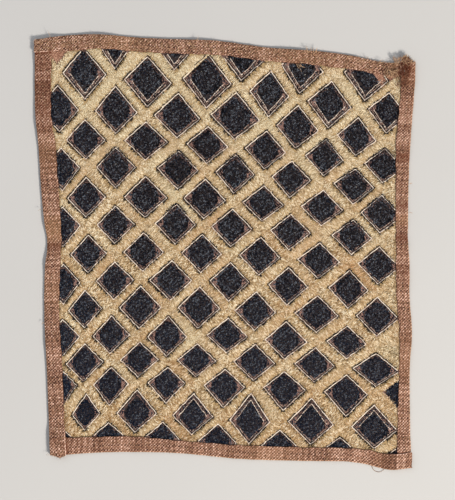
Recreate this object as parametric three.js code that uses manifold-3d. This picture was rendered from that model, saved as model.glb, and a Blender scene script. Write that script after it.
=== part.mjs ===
// A cut-pile raffia cloth: one woven and embroidered panel with four raffia strips folded over its edges.
// Millimetres, +Z up. The cloth lies face up; the origin is on the surface under the middle of its box.
// +Y is the head of the cloth and +X its right side, seen from above.
import * as THREE from "three";
import { mergeVertices } from "three/addons/utils/BufferGeometryUtils.js";
import Module from "manifold-3d";

const wasm = await Module();
wasm.setup();

// Thicknesses through the cloth.
const GAP = 0.3;
const GROUND_THICK = 1.0;
const PILE_HEIGHT = 1.8;
const FRONT_THICK = 1.4;
const BACK_THICK = 1.0;

// Heights in the stack at an edge: back leg, ground cloth, front leg.
const GROUND_BASE = BACK_THICK + GAP;
const FRONT_BASE = GROUND_BASE + GROUND_THICK + GAP;
const STRIP_TOP = FRONT_BASE + FRONT_THICK;

// Widths of the strips' folded section, drawn at its nominal front width.
const STRIP_WIDTH = 20;
const BACK_WIDTH = 13;
const FOLD_WALL = 1.4;
const PANEL_INSET = FOLD_WALL + GAP;
const FIELD_INSET = 0.6;
const MARGIN_OVERLAP = 1.6;

// The panel lies on the surface inside its raised edge: it sinks between these distances from the edge.
const SINK_FROM = 14.5;
const SINK_TO = 30;

// At a corner one strip laps over the other. The laid-over stack ramps up over this length.
const LAP_RAMP = 22;
const LAP_MARGIN = 1.2;
const UNDER_LIFT = BACK_THICK + GAP;
const OVER_LIFT = UNDER_LIFT + FRONT_THICK + GAP;

// Spacing of the stations along an edge.
const STATION_STEP = 15;

// Each side: its outer edge and its strip's width, by the place along it. The strip starts at its raw
// end, which laps over the next side's strip, and ends tucked under the strip before it.
const SIDES = {
  left: {
    upright: true,
    inward: 1,
    rawEnd: -288,
    tuckedEnd: 299,
    rows: [
      { along: -290, edge: -248.5, width: 23 },
      { along: -210, edge: -251.5, width: 22 },
      { along: -150, edge: -254, width: 22 },
      { along: -90, edge: -256.8, width: 21 },
      { along: -25, edge: -256, width: 21.5 },
      { along: 12, edge: -252.5, width: 20 },
      { along: 50, edge: -257.5, width: 23.5 },
      { along: 90, edge: -261.5, width: 25 },
      { along: 155, edge: -265.5, width: 24 },
      { along: 200, edge: -269.8, width: 22.5 },
      { along: 304, edge: -270.5, width: 24 },
    ],
  },
  top: {
    upright: false,
    inward: -1,
    rawEnd: -270.5,
    tuckedEnd: 267.5,
    rows: [
      { along: -270, edge: 301.5, width: 18.5 },
      { along: -220, edge: 308, width: 22.5 },
      { along: -177, edge: 309, width: 20 },
      { along: -120, edge: 304.5, width: 20 },
      { along: -50, edge: 301.8, width: 20.5 },
      { along: -10, edge: 300, width: 20 },
      { along: 60, edge: 290.5, width: 19 },
      { along: 130, edge: 285.5, width: 20 },
      { along: 180, edge: 279, width: 19.5 },
      { along: 225, edge: 269.5, width: 18 },
      { along: 270, edge: 268.5, width: 20 },
    ],
  },
  right: {
    upright: true,
    inward: -1,
    rawEnd: 269,
    tuckedEnd: -304,
    rows: [
      { along: -309, edge: 265, width: 20 },
      { along: -250, edge: 263, width: 18 },
      { along: -160, edge: 262.5, width: 15 },
      { along: -115, edge: 265.5, width: 18 },
      { along: -60, edge: 262, width: 18.5 },
      { along: -15, edge: 262, width: 19 },
      { along: 20, edge: 259.6, width: 17 },
      { along: 120, edge: 261.5, width: 19 },
      { along: 165, edge: 264, width: 20.5 },
      { along: 230, edge: 269, width: 19.5 },
      { along: 270, edge: 270.5, width: 22 },
    ],
  },
  bottom: {
    upright: false,
    inward: 1,
    rawEnd: 265,
    tuckedEnd: -245,
    rows: [
      { along: -247, edge: -289.5, width: 25 },
      { along: -190, edge: -285.5, width: 22.7 },
      { along: -130, edge: -284, width: 22 },
      { along: -64, edge: -286, width: 18 },
      { along: 20, edge: -293.7, width: 19.5 },
      { along: 105, edge: -296.8, width: 19.5 },
      { along: 170, edge: -297.5, width: 19 },
      { along: 200, edge: -301.5, width: 21 },
      { along: 232, edge: -309, width: 22 },
      { along: 265, edge: -306.5, width: 22 },
    ],
  },
};

// Which side's strip lies over which at each corner.
const LAPS = [
  { over: "top", under: "left" },
  { over: "left", under: "bottom" },
  { over: "bottom", under: "right" },
  { over: "right", under: "top" },
];

// Two raw ends run past the corner: how far, how far in from the outer edge, and over what width.
const RAGGED_ENDS = {
  left: { reach: 3.5, from: 14, half: 12 },
  right: { reach: 9, from: 14, half: 10 },
};

// Soft ridges that lift an edge off the surface, by side, place, height, half length and reach inwards.
const RIDGES = [
  { side: "left", at: 180, height: 1.6, half: 44, reach: 46 },
  { side: "left", at: 42, height: 2.1, half: 32, reach: 50 },
  { side: "left", at: -14, height: 1.7, half: 26, reach: 42 },
  { side: "left", at: -128, height: 1.3, half: 40, reach: 40 },
  { side: "top", at: -176, height: 1.9, half: 38, reach: 44 },
  { side: "top", at: -38, height: 1.3, half: 34, reach: 38 },
  { side: "top", at: 96, height: 1.6, half: 42, reach: 44 },
  { side: "right", at: 158, height: 1.2, half: 36, reach: 36 },
  { side: "right", at: 52, height: 1.5, half: 24, reach: 38 },
  { side: "right", at: 13, height: 2.0, half: 20, reach: 42 },
  { side: "right", at: -38, height: 1.6, half: 30, reach: 40 },
  { side: "right", at: -146, height: 1.5, half: 36, reach: 38 },
  { side: "bottom", at: -118, height: 1.2, half: 42, reach: 38 },
  { side: "bottom", at: 12, height: 1.5, half: 46, reach: 42 },
  { side: "bottom", at: 148, height: 1.7, half: 36, reach: 44 },
];

// The lattice of pile bands. A crossing or a pad is named by its column and row in half repeats.
const REPEAT_WIDTH = 83.9;
const REPEAT_HEIGHT = 76.5;
const MIDDLE = { column: 6, row: 7, x: 6.4, y: -3.9 };
const COLUMNS = { first: -2, last: 14 };
const ROWS = { first: -2, last: 17 };

// How far the bands drift at the edge of the cloth, by the powers of column and row that each follows.
const DRIFTS = [
  { column: 0, row: 1, x: -14.5, y: 0 },
  { column: 1, row: 0, x: 0, y: -12.4 },
  { column: 1, row: 1, x: -5.2, y: 13.3 },
  { column: 2, row: 0, x: 7.3, y: -9.8 },
  { column: 0, row: 2, x: 0, y: 5.2 },
  { column: 2, row: 1, x: 12.1, y: 0 },
  { column: 1, row: 2, x: 7.7, y: -15.9 },
  { column: 3, row: 0, x: -5.7, y: 3.5 },
  { column: 0, row: 3, x: 0, y: -5.3 },
];

// How far each column sits right of its even place, and each row above it, from the first one shown.
const COLUMN_SHIFTS = [1.7, -0.3, -1.4, -0.4, 1.8, 1.7, 1.1, 0, -1.6, 0, 0.4, -0.7, 0];
const ROW_SHIFTS = [0, -1.5, -4.5, -2.2, 0.7, 0, 0.8, 0.3, 0, -1.8, -1.8, 0.6, 4, -2, 0];

// A cell from its rim, the middle of the bands, to its centre, as shares of the half repeat.
const BAND_SHOULDER = 0.79;
const BAND_FOOT = 0.75;
const PAD_FOOT = { corner: 0.53, side: 0.6 };
const PAD_BEVEL = 0.05;
const PAD_CROWN = 0.25;

const clamp01 = (v) => Math.min(1, Math.max(0, v));
const ease = (v) => clamp01(v) ** 2 * (3 - 2 * clamp01(v));
const bell = (v) => (Math.abs(v) < 1 ? 0.5 + 0.5 * Math.cos(Math.PI * v) : 0);

// A smooth curve through one column of a side's rows, straight on past its ends.
function readRow(side, key, along) {
  const rows = SIDES[side].rows;
  const last = rows.length - 1;
  const slope = (n) => {
    const a = rows[Math.max(0, n - 1)];
    const b = rows[Math.min(last, n + 1)];
    return (b[key] - a[key]) / (b.along - a.along);
  };
  if (along <= rows[0].along) return rows[0][key] + slope(0) * (along - rows[0].along);
  const next = rows.findIndex((row) => row.along > along);
  if (next < 0) return rows[last][key] + slope(last) * (along - rows[last].along);
  const from = rows[next - 1];
  const to = rows[next];
  const span = to.along - from.along;
  const t = (along - from.along) / span;
  return (
    from[key] * (1 - ease(t)) +
    to[key] * ease(t) +
    span * slope(next - 1) * t * (1 - t) ** 2 -
    span * slope(next) * t ** 2 * (1 - t)
  );
}

// A point by its side, the place along it and its distance in from the outer edge.
function onSide(side, along, inset) {
  const { upright, inward } = SIDES[side];
  const across = readRow(side, "edge", along) + inward * inset;
  return upright
    ? new THREE.Vector2(across, along)
    : new THREE.Vector2(along, across);
}

// The place along a side and the distance in from it, of any point.
function fromSide(side, x, y) {
  const { upright, inward } = SIDES[side];
  const along = upright ? y : x;
  const across = upright ? x : y;
  return { along, inset: (across - readRow(side, "edge", along)) * inward };
}

// Full within the width of a side's strip, easing to nothing past it.
function lapShare(side, x, y) {
  const { along, inset } = fromSide(side, x, y);
  return 1 - ease((inset - readRow(side, "width", along) - LAP_MARGIN) / LAP_RAMP);
}

function ridges(x, y) {
  let height = 0;
  for (const ridge of RIDGES) {
    const { along, inset } = fromSide(ridge.side, x, y);
    const reach = bell(Math.max(0, inset) / ridge.reach);
    height += ridge.height * bell((along - ridge.at) / ridge.half) * reach;
  }
  return height;
}

// The height of the ground cloth's underside.
function groundHeight(x, y) {
  const sides = Object.keys(SIDES).map((side) => fromSide(side, x, y).inset);
  const sunk = sides
    .map((inset) => ease((inset - SINK_FROM) / (SINK_TO - SINK_FROM)))
    .reduce((a, b) => a * b);
  let corner = 0;
  for (const { over, under } of LAPS) {
    corner += lapShare(over, x, y) * lapShare(under, x, y);
  }
  const raised = GROUND_BASE + UNDER_LIFT * corner;
  return raised * (1 - sunk) + ridges(x, y);
}

// A list's value between two of its places, and nothing outside them.
function shiftAt(shifts, place) {
  const i = Math.floor(place);
  const from = shifts[i] ?? 0;
  const to = shifts[i + 1] ?? 0;
  return from + (to - from) * (place - i);
}

// Where a point of the lattice lies.
function latticePoint(column, row) {
  const c = (column - MIDDLE.column) / MIDDLE.column;
  const r = (row - MIDDLE.row) / MIDDLE.row;
  const at = new THREE.Vector2(
    MIDDLE.x + ((column - MIDDLE.column) * REPEAT_WIDTH) / 2 + shiftAt(COLUMN_SHIFTS, column),
    MIDDLE.y - ((row - MIDDLE.row) * REPEAT_HEIGHT) / 2 + shiftAt(ROW_SHIFTS, row),
  );
  for (const drift of DRIFTS) {
    const share = c ** drift.column * r ** drift.row;
    at.x += drift.x * share;
    at.y += drift.y * share;
  }
  return at;
}

// A solid of a mesh whose vertices only have places. A mesh laid out mirrored has its faces turned over.
function solidOf(geometry, mirrored = false) {
  geometry.deleteAttribute("normal");
  geometry.deleteAttribute("uv");
  const merged = mergeVertices(geometry, 1e-3);
  if (mirrored) merged.index.array.reverse();
  return new wasm.Manifold(
    new wasm.Mesh({
      numProp: 3,
      vertProperties: merged.attributes.position.array,
      triVerts: new Uint32Array(merged.index.array),
    }),
  );
}

function geometryOf(solid) {
  const { vertProperties, triVerts, numProp, numVert } = solid.getMesh();
  const places = new Float32Array(numVert * 3);
  for (let i = 0; i < numVert; i++) {
    places.set(
      vertProperties.subarray(i * numProp, i * numProp + 3),
      i * 3,
    );
  }
  const geometry = new THREE.BufferGeometry();
  geometry.setAttribute("position", new THREE.BufferAttribute(places, 3));
  geometry.setIndex(new THREE.BufferAttribute(new Uint32Array(triVerts), 1));
  geometry.computeVertexNormals();
  return geometry;
}

// The places along a side where pieces change direction, the same for all that lie there: even steps,
// and where a lap's ramp starts and ends.
function stations(side) {
  const { rows } = SIDES[side];
  const first = rows[0].along;
  const count = Math.ceil((rows[rows.length - 1].along - first) / STATION_STEP);
  const step = (rows[rows.length - 1].along - first) / count;
  const even = Array.from({ length: count + 1 }, (_, i) => first + i * step);
  const ramps = LAPS.filter(({ over, under }) => over === side || under === side)
    .map(({ over, under }) => (over === side ? under : over))
    .flatMap((other) =>
      [0, LAP_RAMP / 2, LAP_RAMP].map((ramp) => {
        const insetOf = (named, along) =>
          named === side ? 0 : readRow(named, "width", along) + LAP_MARGIN + ramp;
        const pair = SIDES[side].upright ? [side, other] : [other, side];
        return cornerPoint(...pair, insetOf)[SIDES[side].upright ? "y" : "x"];
      }),
    );
  const apart = even.filter((s) => ramps.every((r) => Math.abs(s - r) > STATION_STEP / 2));
  return [...apart, ...ramps].sort((a, b) => a - b);
}

function stationsBetween(side, from, to) {
  const low = Math.min(from, to);
  const high = Math.max(from, to);
  const inner = stations(side).filter((s) => s > low + 1 && s < high - 1);
  return [low, ...inner, high];
}

// The corner where two sides meet, each drawn in by its own inset.
function cornerPoint(uprightSide, levelSide, insetOf) {
  let x = 0;
  let y = 0;
  for (let turn = 0; turn < 12; turn++) {
    x = onSide(uprightSide, y, insetOf(uprightSide, y)).x;
    y = onSide(levelSide, x, insetOf(levelSide, x)).y;
  }
  return new THREE.Vector2(x, y);
}

// A closed line round the cloth, drawn in from its edge: from the lower left corner, counterclockwise.
function outline(insetOf) {
  const lowLeft = cornerPoint("left", "bottom", insetOf);
  const lowRight = cornerPoint("right", "bottom", insetOf);
  const highRight = cornerPoint("right", "top", insetOf);
  const highLeft = cornerPoint("left", "top", insetOf);
  const run = (side, from, to, key) => {
    const reversed = from[key] > to[key];
    const places = stationsBetween(side, from[key], to[key]);
    if (reversed) places.reverse();
    const middle = places
      .slice(1, -1)
      .map((along) => onSide(side, along, insetOf(side, along)));
    return [from, ...middle];
  };
  return [
    ...run("bottom", lowLeft, lowRight, "x"),
    ...run("right", lowRight, highRight, "y"),
    ...run("top", highRight, highLeft, "x"),
    ...run("left", highLeft, lowLeft, "y"),
  ];
}

// The same number of places on every line: the outer line's stations, drawn in to each inset.
function marginLines(insets) {
  const outer = outline(() => PANEL_INSET);
  const corners = [
    ["left", "bottom"],
    ["right", "bottom"],
    ["right", "top"],
    ["left", "top"],
  ];
  const sidesOf = outer.map((point) => {
    const near = Object.keys(SIDES).filter(
      (side) => Math.abs(fromSide(side, point.x, point.y).inset - PANEL_INSET) < 0.05,
    );
    return near;
  });
  return insets.map((insetOf) =>
    outer.map((point, i) => {
      const near = sidesOf[i];
      const corner = corners.find((pair) => pair.every((side) => near.includes(side)));
      if (corner) return cornerPoint(corner[0], corner[1], insetOf);
      const side = near[0];
      const ends = corners
        .filter((pair) => pair.includes(side))
        .map((pair) => cornerPoint(pair[0], pair[1], insetOf));
      const key = SIDES[side].upright ? "y" : "x";
      const low = Math.min(ends[0][key], ends[1][key]);
      const high = Math.max(ends[0][key], ends[1][key]);
      const along = Math.min(high, Math.max(low, point[key]));
      return onSide(side, along, insetOf(side, along));
    }),
  );
}

// The plain margin of the ground cloth, which the strips cover: a ring of quads round the cloth.
function makeMargin() {
  const widthOf = (side, along) => readRow(side, "width", along);
  const lines = marginLines([
    () => PANEL_INSET,
    () => BACK_WIDTH + LAP_MARGIN,
    (side, along) => widthOf(side, along) + FIELD_INSET + MARGIN_OVERLAP,
  ]);
  const loop = [
    ...lines.map((line) => ({ line, up: 0 })),
    ...[...lines].reverse().map((line) => ({ line, up: GROUND_THICK })),
  ];
  const places = [];
  const at = (k, i) => {
    const { line, up } = loop[k % loop.length];
    const p = line[i % line.length];
    return [p.x, p.y, groundHeight(p.x, p.y) + up];
  };
  for (let k = 0; k < loop.length; k++) {
    for (let i = 0; i < lines[0].length; i++) {
      const [a, b, c, d] = [at(k, i), at(k + 1, i), at(k + 1, i + 1), at(k, i + 1)];
      places.push(...a, ...b, ...c, ...a, ...c, ...d);
    }
  }
  const geometry = new THREE.BufferGeometry();
  geometry.setAttribute(
    "position",
    new THREE.BufferAttribute(new Float32Array(places), 3),
  );
  return solidOf(geometry);
}

// The embroidered field: bands and pads raised from the ground cloth, cell by cell.
function makeField() {
  const places = [];
  const corners = [
    [1, 0],
    [0, -1],
    [-1, 0],
    [0, 1],
  ];
  const crest = GROUND_THICK + PILE_HEIGHT;
  const put = (column, row, up) => {
    const p = latticePoint(column, row);
    return [p.x, p.y, groundHeight(p.x, p.y) + up];
  };
  const face = (...points) => places.push(...points.flat());
  // A ring of four corners, or of eight with the middles of its sides, about one cell.
  const ring = (column, row, corner, side, up) => {
    const points = [];
    corners.forEach(([dc, dr], i) => {
      const [nc, nr] = corners[(i + 1) % 4];
      points.push(put(column + dc * corner, row + dr * corner, up));
      if (side) {
        const middle = side / 2;
        points.push(put(column + (dc + nc) * middle, row + (dr + nr) * middle, up));
      }
    });
    return points;
  };
  const cells = [];
  for (let column = COLUMNS.first; column <= COLUMNS.last; column++) {
    for (let row = ROWS.first; row <= ROWS.last; row++) {
      if ((column + row) % 2 === 0) cells.push({ column, row });
    }
  }
  const has = new Set(cells.map(({ column, row }) => column + "," + row));
  for (const { column, row } of cells) {
    const rim = ring(column, row, 1, 0, crest);
    const shoulder = ring(column, row, BAND_SHOULDER, 0, crest);
    const foot = ring(column, row, BAND_FOOT, 0, GROUND_THICK);
    const padFoot = ring(column, row, PAD_FOOT.corner, PAD_FOOT.side, GROUND_THICK);
    const padTop = ring(
      column,
      row,
      PAD_FOOT.corner - PAD_BEVEL,
      PAD_FOOT.side - PAD_BEVEL,
      crest,
    );
    const centre = put(column, row, crest + PAD_CROWN);
    const under = ring(column, row, 1, 1, 0);
    const underCentre = put(column, row, 0);
    for (let i = 0; i < 4; i++) {
      const n = (i + 1) % 4;
      const [a, b, c] = [2 * i, 2 * i + 1, (2 * i + 2) % 8];
      face(rim[i], rim[n], shoulder[i]);
      face(rim[n], shoulder[n], shoulder[i]);
      face(shoulder[i], shoulder[n], foot[i]);
      face(shoulder[n], foot[n], foot[i]);
      face(foot[i], padFoot[b], padFoot[a]);
      face(foot[i], foot[n], padFoot[b]);
      face(foot[n], padFoot[c], padFoot[b]);
      for (const [p, q] of [
        [a, b],
        [b, c],
      ]) {
        face(padFoot[p], padFoot[q], padTop[p]);
        face(padFoot[q], padTop[q], padTop[p]);
        face(padTop[p], padTop[q], centre);
      }
      face(under[b], under[a], underCentre);
      face(under[c], under[b], underCentre);
      // A wall where the lattice stops.
      const [dc, dr] = corners[i];
      const [ec, er] = corners[n];
      if (!has.has(column + dc + ec + "," + (row + dr + er))) {
        face(under[a], under[b], rim[i]);
        face(under[b], under[c], rim[n]);
        face(under[b], rim[n], rim[i]);
      }
    }
  }
  const geometry = new THREE.BufferGeometry();
  geometry.setAttribute(
    "position",
    new THREE.BufferAttribute(new Float32Array(places), 3),
  );
  const lattice = solidOf(geometry);
  const rim = outline((side, along) => readRow(side, "width", along) + FIELD_INSET);
  const prism = new THREE.ExtrudeGeometry(new THREE.Shape(rim), {
    depth: 60,
    bevelEnabled: false,
  }).translate(0, 0, -30);
  return lattice.intersect(solidOf(prism));
}

// A strip's section: back leg, rounded fold and front leg, with its raw edge turned under.
function stripSection() {
  const inside = STRIP_WIDTH;
  const front = [inside * 0.66, inside * 0.33];
  const top = STRIP_TOP;
  const shape = new THREE.Shape();
  shape.moveTo(BACK_WIDTH, 0);
  shape.lineTo(BACK_WIDTH, BACK_THICK);
  shape.lineTo(FOLD_WALL + 0.3, BACK_THICK);
  shape.lineTo(FOLD_WALL, BACK_THICK + 0.3);
  shape.lineTo(FOLD_WALL, FRONT_BASE - 0.2);
  shape.lineTo(FOLD_WALL + 0.2, FRONT_BASE);
  shape.lineTo(front[1], FRONT_BASE);
  shape.lineTo(front[0], FRONT_BASE);
  shape.lineTo(inside - 0.4, FRONT_BASE);
  shape.lineTo(inside, FRONT_BASE + 0.4);
  shape.lineTo(inside, top - 0.5);
  shape.lineTo(inside - 0.6, top);
  shape.lineTo(front[0], top);
  shape.lineTo(front[1], top);
  shape.lineTo(1.6, top);
  shape.lineTo(0.5, top - 0.6);
  shape.lineTo(0, top - 1.5);
  shape.lineTo(0, 1.2);
  shape.lineTo(0.4, 0.4);
  shape.lineTo(1.2, 0);
  return shape;
}

// A strip along one side: its section carried from station to station, raised at its laps and ridges.
function makeStrip(side) {
  const { rawEnd, tuckedEnd } = SIDES[side];
  const covers = LAPS.find((lap) => lap.over === side).under;
  const coveredBy = LAPS.find((lap) => lap.under === side).over;
  const places = stationsBetween(side, rawEnd, tuckedEnd);
  const steps = places.length - 1;
  const geometry = new THREE.ExtrudeGeometry(stripSection(), {
    depth: 1,
    steps,
    bevelEnabled: false,
  });
  const ragged = RAGGED_ENDS[side];
  const outwards = Math.sign(rawEnd - tuckedEnd);
  const position = geometry.attributes.position;
  for (let i = 0; i < position.count; i++) {
    const station = places[Math.round(position.getZ(i) * steps)];
    const up = position.getY(i);
    const width = readRow(side, "width", station) / STRIP_WIDTH;
    const inset = position.getX(i) * (position.getX(i) > BACK_WIDTH ? width : 1);
    const tip = ragged ? bell((inset - ragged.from) / ragged.half) * ragged.reach : 0;
    const along = station === rawEnd ? station + outwards * tip : station;
    const frontShare = clamp01((up - BACK_THICK) / (FRONT_BASE - BACK_THICK));
    const at = onSide(side, station, inset);
    const height =
      up +
      ridges(at.x, at.y) +
      UNDER_LIFT * lapShare(coveredBy, at.x, at.y) +
      OVER_LIFT * lapShare(covers, at.x, at.y) * frontShare;
    const place = SIDES[side].upright ? [at.x, along] : [along, at.y];
    position.setXYZ(i, place[0], place[1], height);
  }
  return solidOf(geometry, SIDES[side].upright === SIDES[side].inward > 0);
}

const clothMaterial = (name, color, roughness) =>
  new THREE.MeshStandardMaterial({ name, color, roughness, metalness: 0 });

const panelMaterial = clothMaterial("embroidered_raffia", "#b99a6b", 0.95);
const stripMaterial = clothMaterial("camwood_red_raffia", "#a0765f", 0.9);

const cloth = new THREE.Group();

const panel = new THREE.Mesh(
  geometryOf(makeField().add(makeMargin())),
  panelMaterial,
);
panel.name = "embroidered_panel";
cloth.add(panel);

for (const side of Object.keys(SIDES)) {
  const strip = new THREE.Mesh(geometryOf(makeStrip(side)), stripMaterial);
  strip.name = "edge_strip_" + side;
  cloth.add(strip);
}

export default cloth;
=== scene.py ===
"""Looks of a cut-pile raffia cloth: woven ground, straw and blue-black pile, stitched lines and strips.

Shapes are worked out in millimetres, in the part's own frame, and turned to metres when a mesh is made.
"""

import math

import bpy
import numpy as np
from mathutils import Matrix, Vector


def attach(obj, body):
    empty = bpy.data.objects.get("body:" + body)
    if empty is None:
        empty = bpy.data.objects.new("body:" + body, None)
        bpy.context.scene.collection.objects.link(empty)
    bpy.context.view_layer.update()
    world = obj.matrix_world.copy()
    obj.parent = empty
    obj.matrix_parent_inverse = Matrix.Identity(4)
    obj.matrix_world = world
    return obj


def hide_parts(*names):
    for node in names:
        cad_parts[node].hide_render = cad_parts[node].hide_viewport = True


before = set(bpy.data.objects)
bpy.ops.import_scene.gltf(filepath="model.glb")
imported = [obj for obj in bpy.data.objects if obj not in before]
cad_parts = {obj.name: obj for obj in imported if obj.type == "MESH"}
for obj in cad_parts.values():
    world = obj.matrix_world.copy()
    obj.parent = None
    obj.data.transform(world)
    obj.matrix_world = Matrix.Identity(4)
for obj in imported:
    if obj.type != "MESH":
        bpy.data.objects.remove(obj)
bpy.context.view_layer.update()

bl_info = {
    "name": "Cut-pile raffia cloth",
    "version": (1, 0, 0),
    "blender": (4, 5, 0),
    "location": "View3D > Sidebar > Raffia cloth",
    "description": "Builds the pile, stitches, weave and edge strips of an embroidered raffia cloth",
    "category": "Object",
}

MM = 0.001
BODY = "root"
SEED = 41

# The stack at an edge, from the surface up: back leg of the strip, ground cloth, front leg.
GAP = 0.3
GROUND_THICK = 1.0
FRONT_THICK = 1.4
BACK_THICK = 1.0
GROUND_BASE = BACK_THICK + GAP
FRONT_BASE = GROUND_BASE + GROUND_THICK + GAP
STRIP_TOP = FRONT_BASE + FRONT_THICK
# A strip is cut as wide as its front, what its fold takes up and its back leg.
BACK_WIDTH = 13
# The ground cloth ends this far inside a fold, and sinks to the surface between these distances from it.
PANEL_INSET = 1.9
SINK_FROM = 14.5
SINK_TO = 30
# Where strips lap at a corner, the stack ramps up over this length, from a little past the strip below.
LAP_RAMP = 22
LAP_MARGIN = 1.2
UNDER_LIFT = BACK_THICK + GAP
OVER_LIFT = UNDER_LIFT + FRONT_THICK + GAP
# The pile stands on a bed that is raised above the bare ground cloth.
BED_RISE = 0.9

# Each side: whether it runs along Y, which way is inwards, its strip's two ends, and rows of place along
# it, outer edge and strip width. The raw end lies over the next side's strip.
SIDES = {
    "left": {
        "upright": True, "inward": 1, "raw": -288, "tucked": 299,
        "rows": (
            (-290, -248.5, 23), (-210, -251.5, 22), (-150, -254, 22), (-90, -256.8, 21),
            (-25, -256, 21.5), (12, -252.5, 20), (50, -257.5, 23.5), (90, -261.5, 25),
            (155, -265.5, 24), (200, -269.8, 22.5), (304, -270.5, 24),
        ),
    },
    "top": {
        "upright": False, "inward": -1, "raw": -270.5, "tucked": 267.5,
        "rows": (
            (-270, 301.5, 18.5), (-220, 308, 22.5), (-177, 309, 20), (-120, 304.5, 20),
            (-50, 301.8, 20.5), (-10, 300, 20), (60, 290.5, 19), (130, 285.5, 20),
            (180, 279, 19.5), (225, 269.5, 18), (270, 268.5, 20),
        ),
    },
    "right": {
        "upright": True, "inward": -1, "raw": 269, "tucked": -304,
        "rows": (
            (-309, 265, 20), (-250, 263, 18), (-160, 262.5, 15), (-115, 265.5, 18),
            (-60, 262, 18.5), (-15, 262, 19), (20, 259.6, 17), (120, 261.5, 19),
            (165, 264, 20.5), (230, 269, 19.5), (270, 270.5, 22),
        ),
    },
    "bottom": {
        "upright": False, "inward": 1, "raw": 265, "tucked": -245,
        "rows": (
            (-247, -289.5, 25), (-190, -285.5, 22.7), (-130, -284, 22), (-64, -286, 18),
            (20, -293.7, 19.5), (105, -296.8, 19.5), (170, -297.5, 19), (200, -301.5, 21),
            (232, -309, 22), (265, -306.5, 22),
        ),
    },
}
# At each corner, the strip that lies over and the one that lies under it.
LAPS = (("top", "left"), ("left", "bottom"), ("bottom", "right"), ("right", "top"))
# Raw ends that run past the corner: how far, how far in from the outer edge, and over what half width.
RAGGED_ENDS = {"left": (3.5, 14, 12), "right": (9, 14, 10)}
FRAYED_LENGTH = 14

# Soft ridges that lift an edge: side, place along it, height, half length, reach inwards.
RIDGES = (
    ("left", 180, 1.6, 44, 46), ("left", 42, 2.1, 32, 50), ("left", -14, 1.7, 26, 42),
    ("left", -128, 1.3, 40, 40), ("top", -176, 1.9, 38, 44), ("top", -38, 1.3, 34, 38),
    ("top", 96, 1.6, 42, 44), ("right", 158, 1.2, 36, 36), ("right", 52, 1.5, 24, 38),
    ("right", 13, 2.0, 20, 42), ("right", -38, 1.6, 30, 40), ("right", -146, 1.5, 36, 38),
    ("bottom", -118, 1.2, 42, 38), ("bottom", 12, 1.5, 46, 42), ("bottom", 148, 1.7, 36, 44),
)

# The lattice of bands. Columns and rows are counted in half repeats, and rows run down the cloth.
REPEAT = (83.9, 76.5)
MIDDLE = {"column": 6, "row": 7, "x": 6.4, "y": -3.9}
# How the lattice wanders towards the edges of the cloth: power of column, power of row, x, y.
DRIFTS = (
    (0, 1, -14.5, 0), (1, 0, 0, -12.4), (1, 1, -5.2, 13.3), (2, 0, 7.3, -9.8), (0, 2, 0, 5.2),
    (2, 1, 12.1, 0), (1, 2, 7.7, -15.9), (3, 0, -5.7, 3.5), (0, 3, 0, -5.3),
)
# How far each column is moved right and each row up, from the first that shows.
COLUMN_SHIFTS = (1.7, -0.3, -1.4, -0.4, 1.8, 1.7, 1.1, 0, -1.6, 0, 0.4, -0.7, 0)
ROW_SHIFTS = (0, -1.5, -4.5, -2.2, 0.7, 0, 0.8, 0.3, 0, -1.8, -1.8, 0.6, 4, -2, 0)
FIRST_CELL, LAST_CELL = -3, 18
# The length of a cell's side along the middle of the bands.
CELL_SIDE = 57

# Lines of a cell, as shares of the way from its centre to the middle of the bands round it.
BAND_EDGE = 0.778
OUTER_BLACK = 0.727
CREAM_LINE = 0.697
INNER_BLACK = 0.652
ROSE_LINE = 0.595
SECOND_LINE = 0.545
# A cell's sides, numbered from the upper right one to the left.
UPPER_SIDES = (0, 1)
LOWER_SIDES = (2, 3)
ALL_SIDES = (0, 1, 2, 3)
# A pad is a cell with its corners cut off. It sits a little above the middle of its cell.
PAD = {"reach": 0.615, "wide": 0.455, "high": 0.585}
PAD_LIFT = 0.02
# The beds of the bands and of the pads start at these shares and are full after the width that follows.
BAND_BED = (0.78, 0.07)
PAD_BED = (0.75, 0.25)
# Cells that were drawn unlike the rest: column, row, width, height, moved along the columns and rows.
ODD_CELLS = (
    (4, 0, 0.9, 1.1, -0.13, -0.14), (6, 0, 1.1, 1.2, 0.06, -0.14), (8, 0, 0.97, 1.24, 0.04, -0.05),
    (10, 0, 1.08, 1.27, 0.17, -0.19), (1, 13, 0.82, 0.94, 0.09, -0.07), (3, 13, 1.0, 1.08, 0.03, -0.06),
    (5, 13, 1.0, 1.04, 0, 0), (7, 13, 0.98, 1.26, -0.03, 0.07), (9, 13, 1.01, 1.13, -0.04, 0.01),
    (11, 13, 1.04, 1.05, -0.03, 0.02), (10, 14, 0.9, 0.85, -0.12, 0.04),
)
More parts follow.
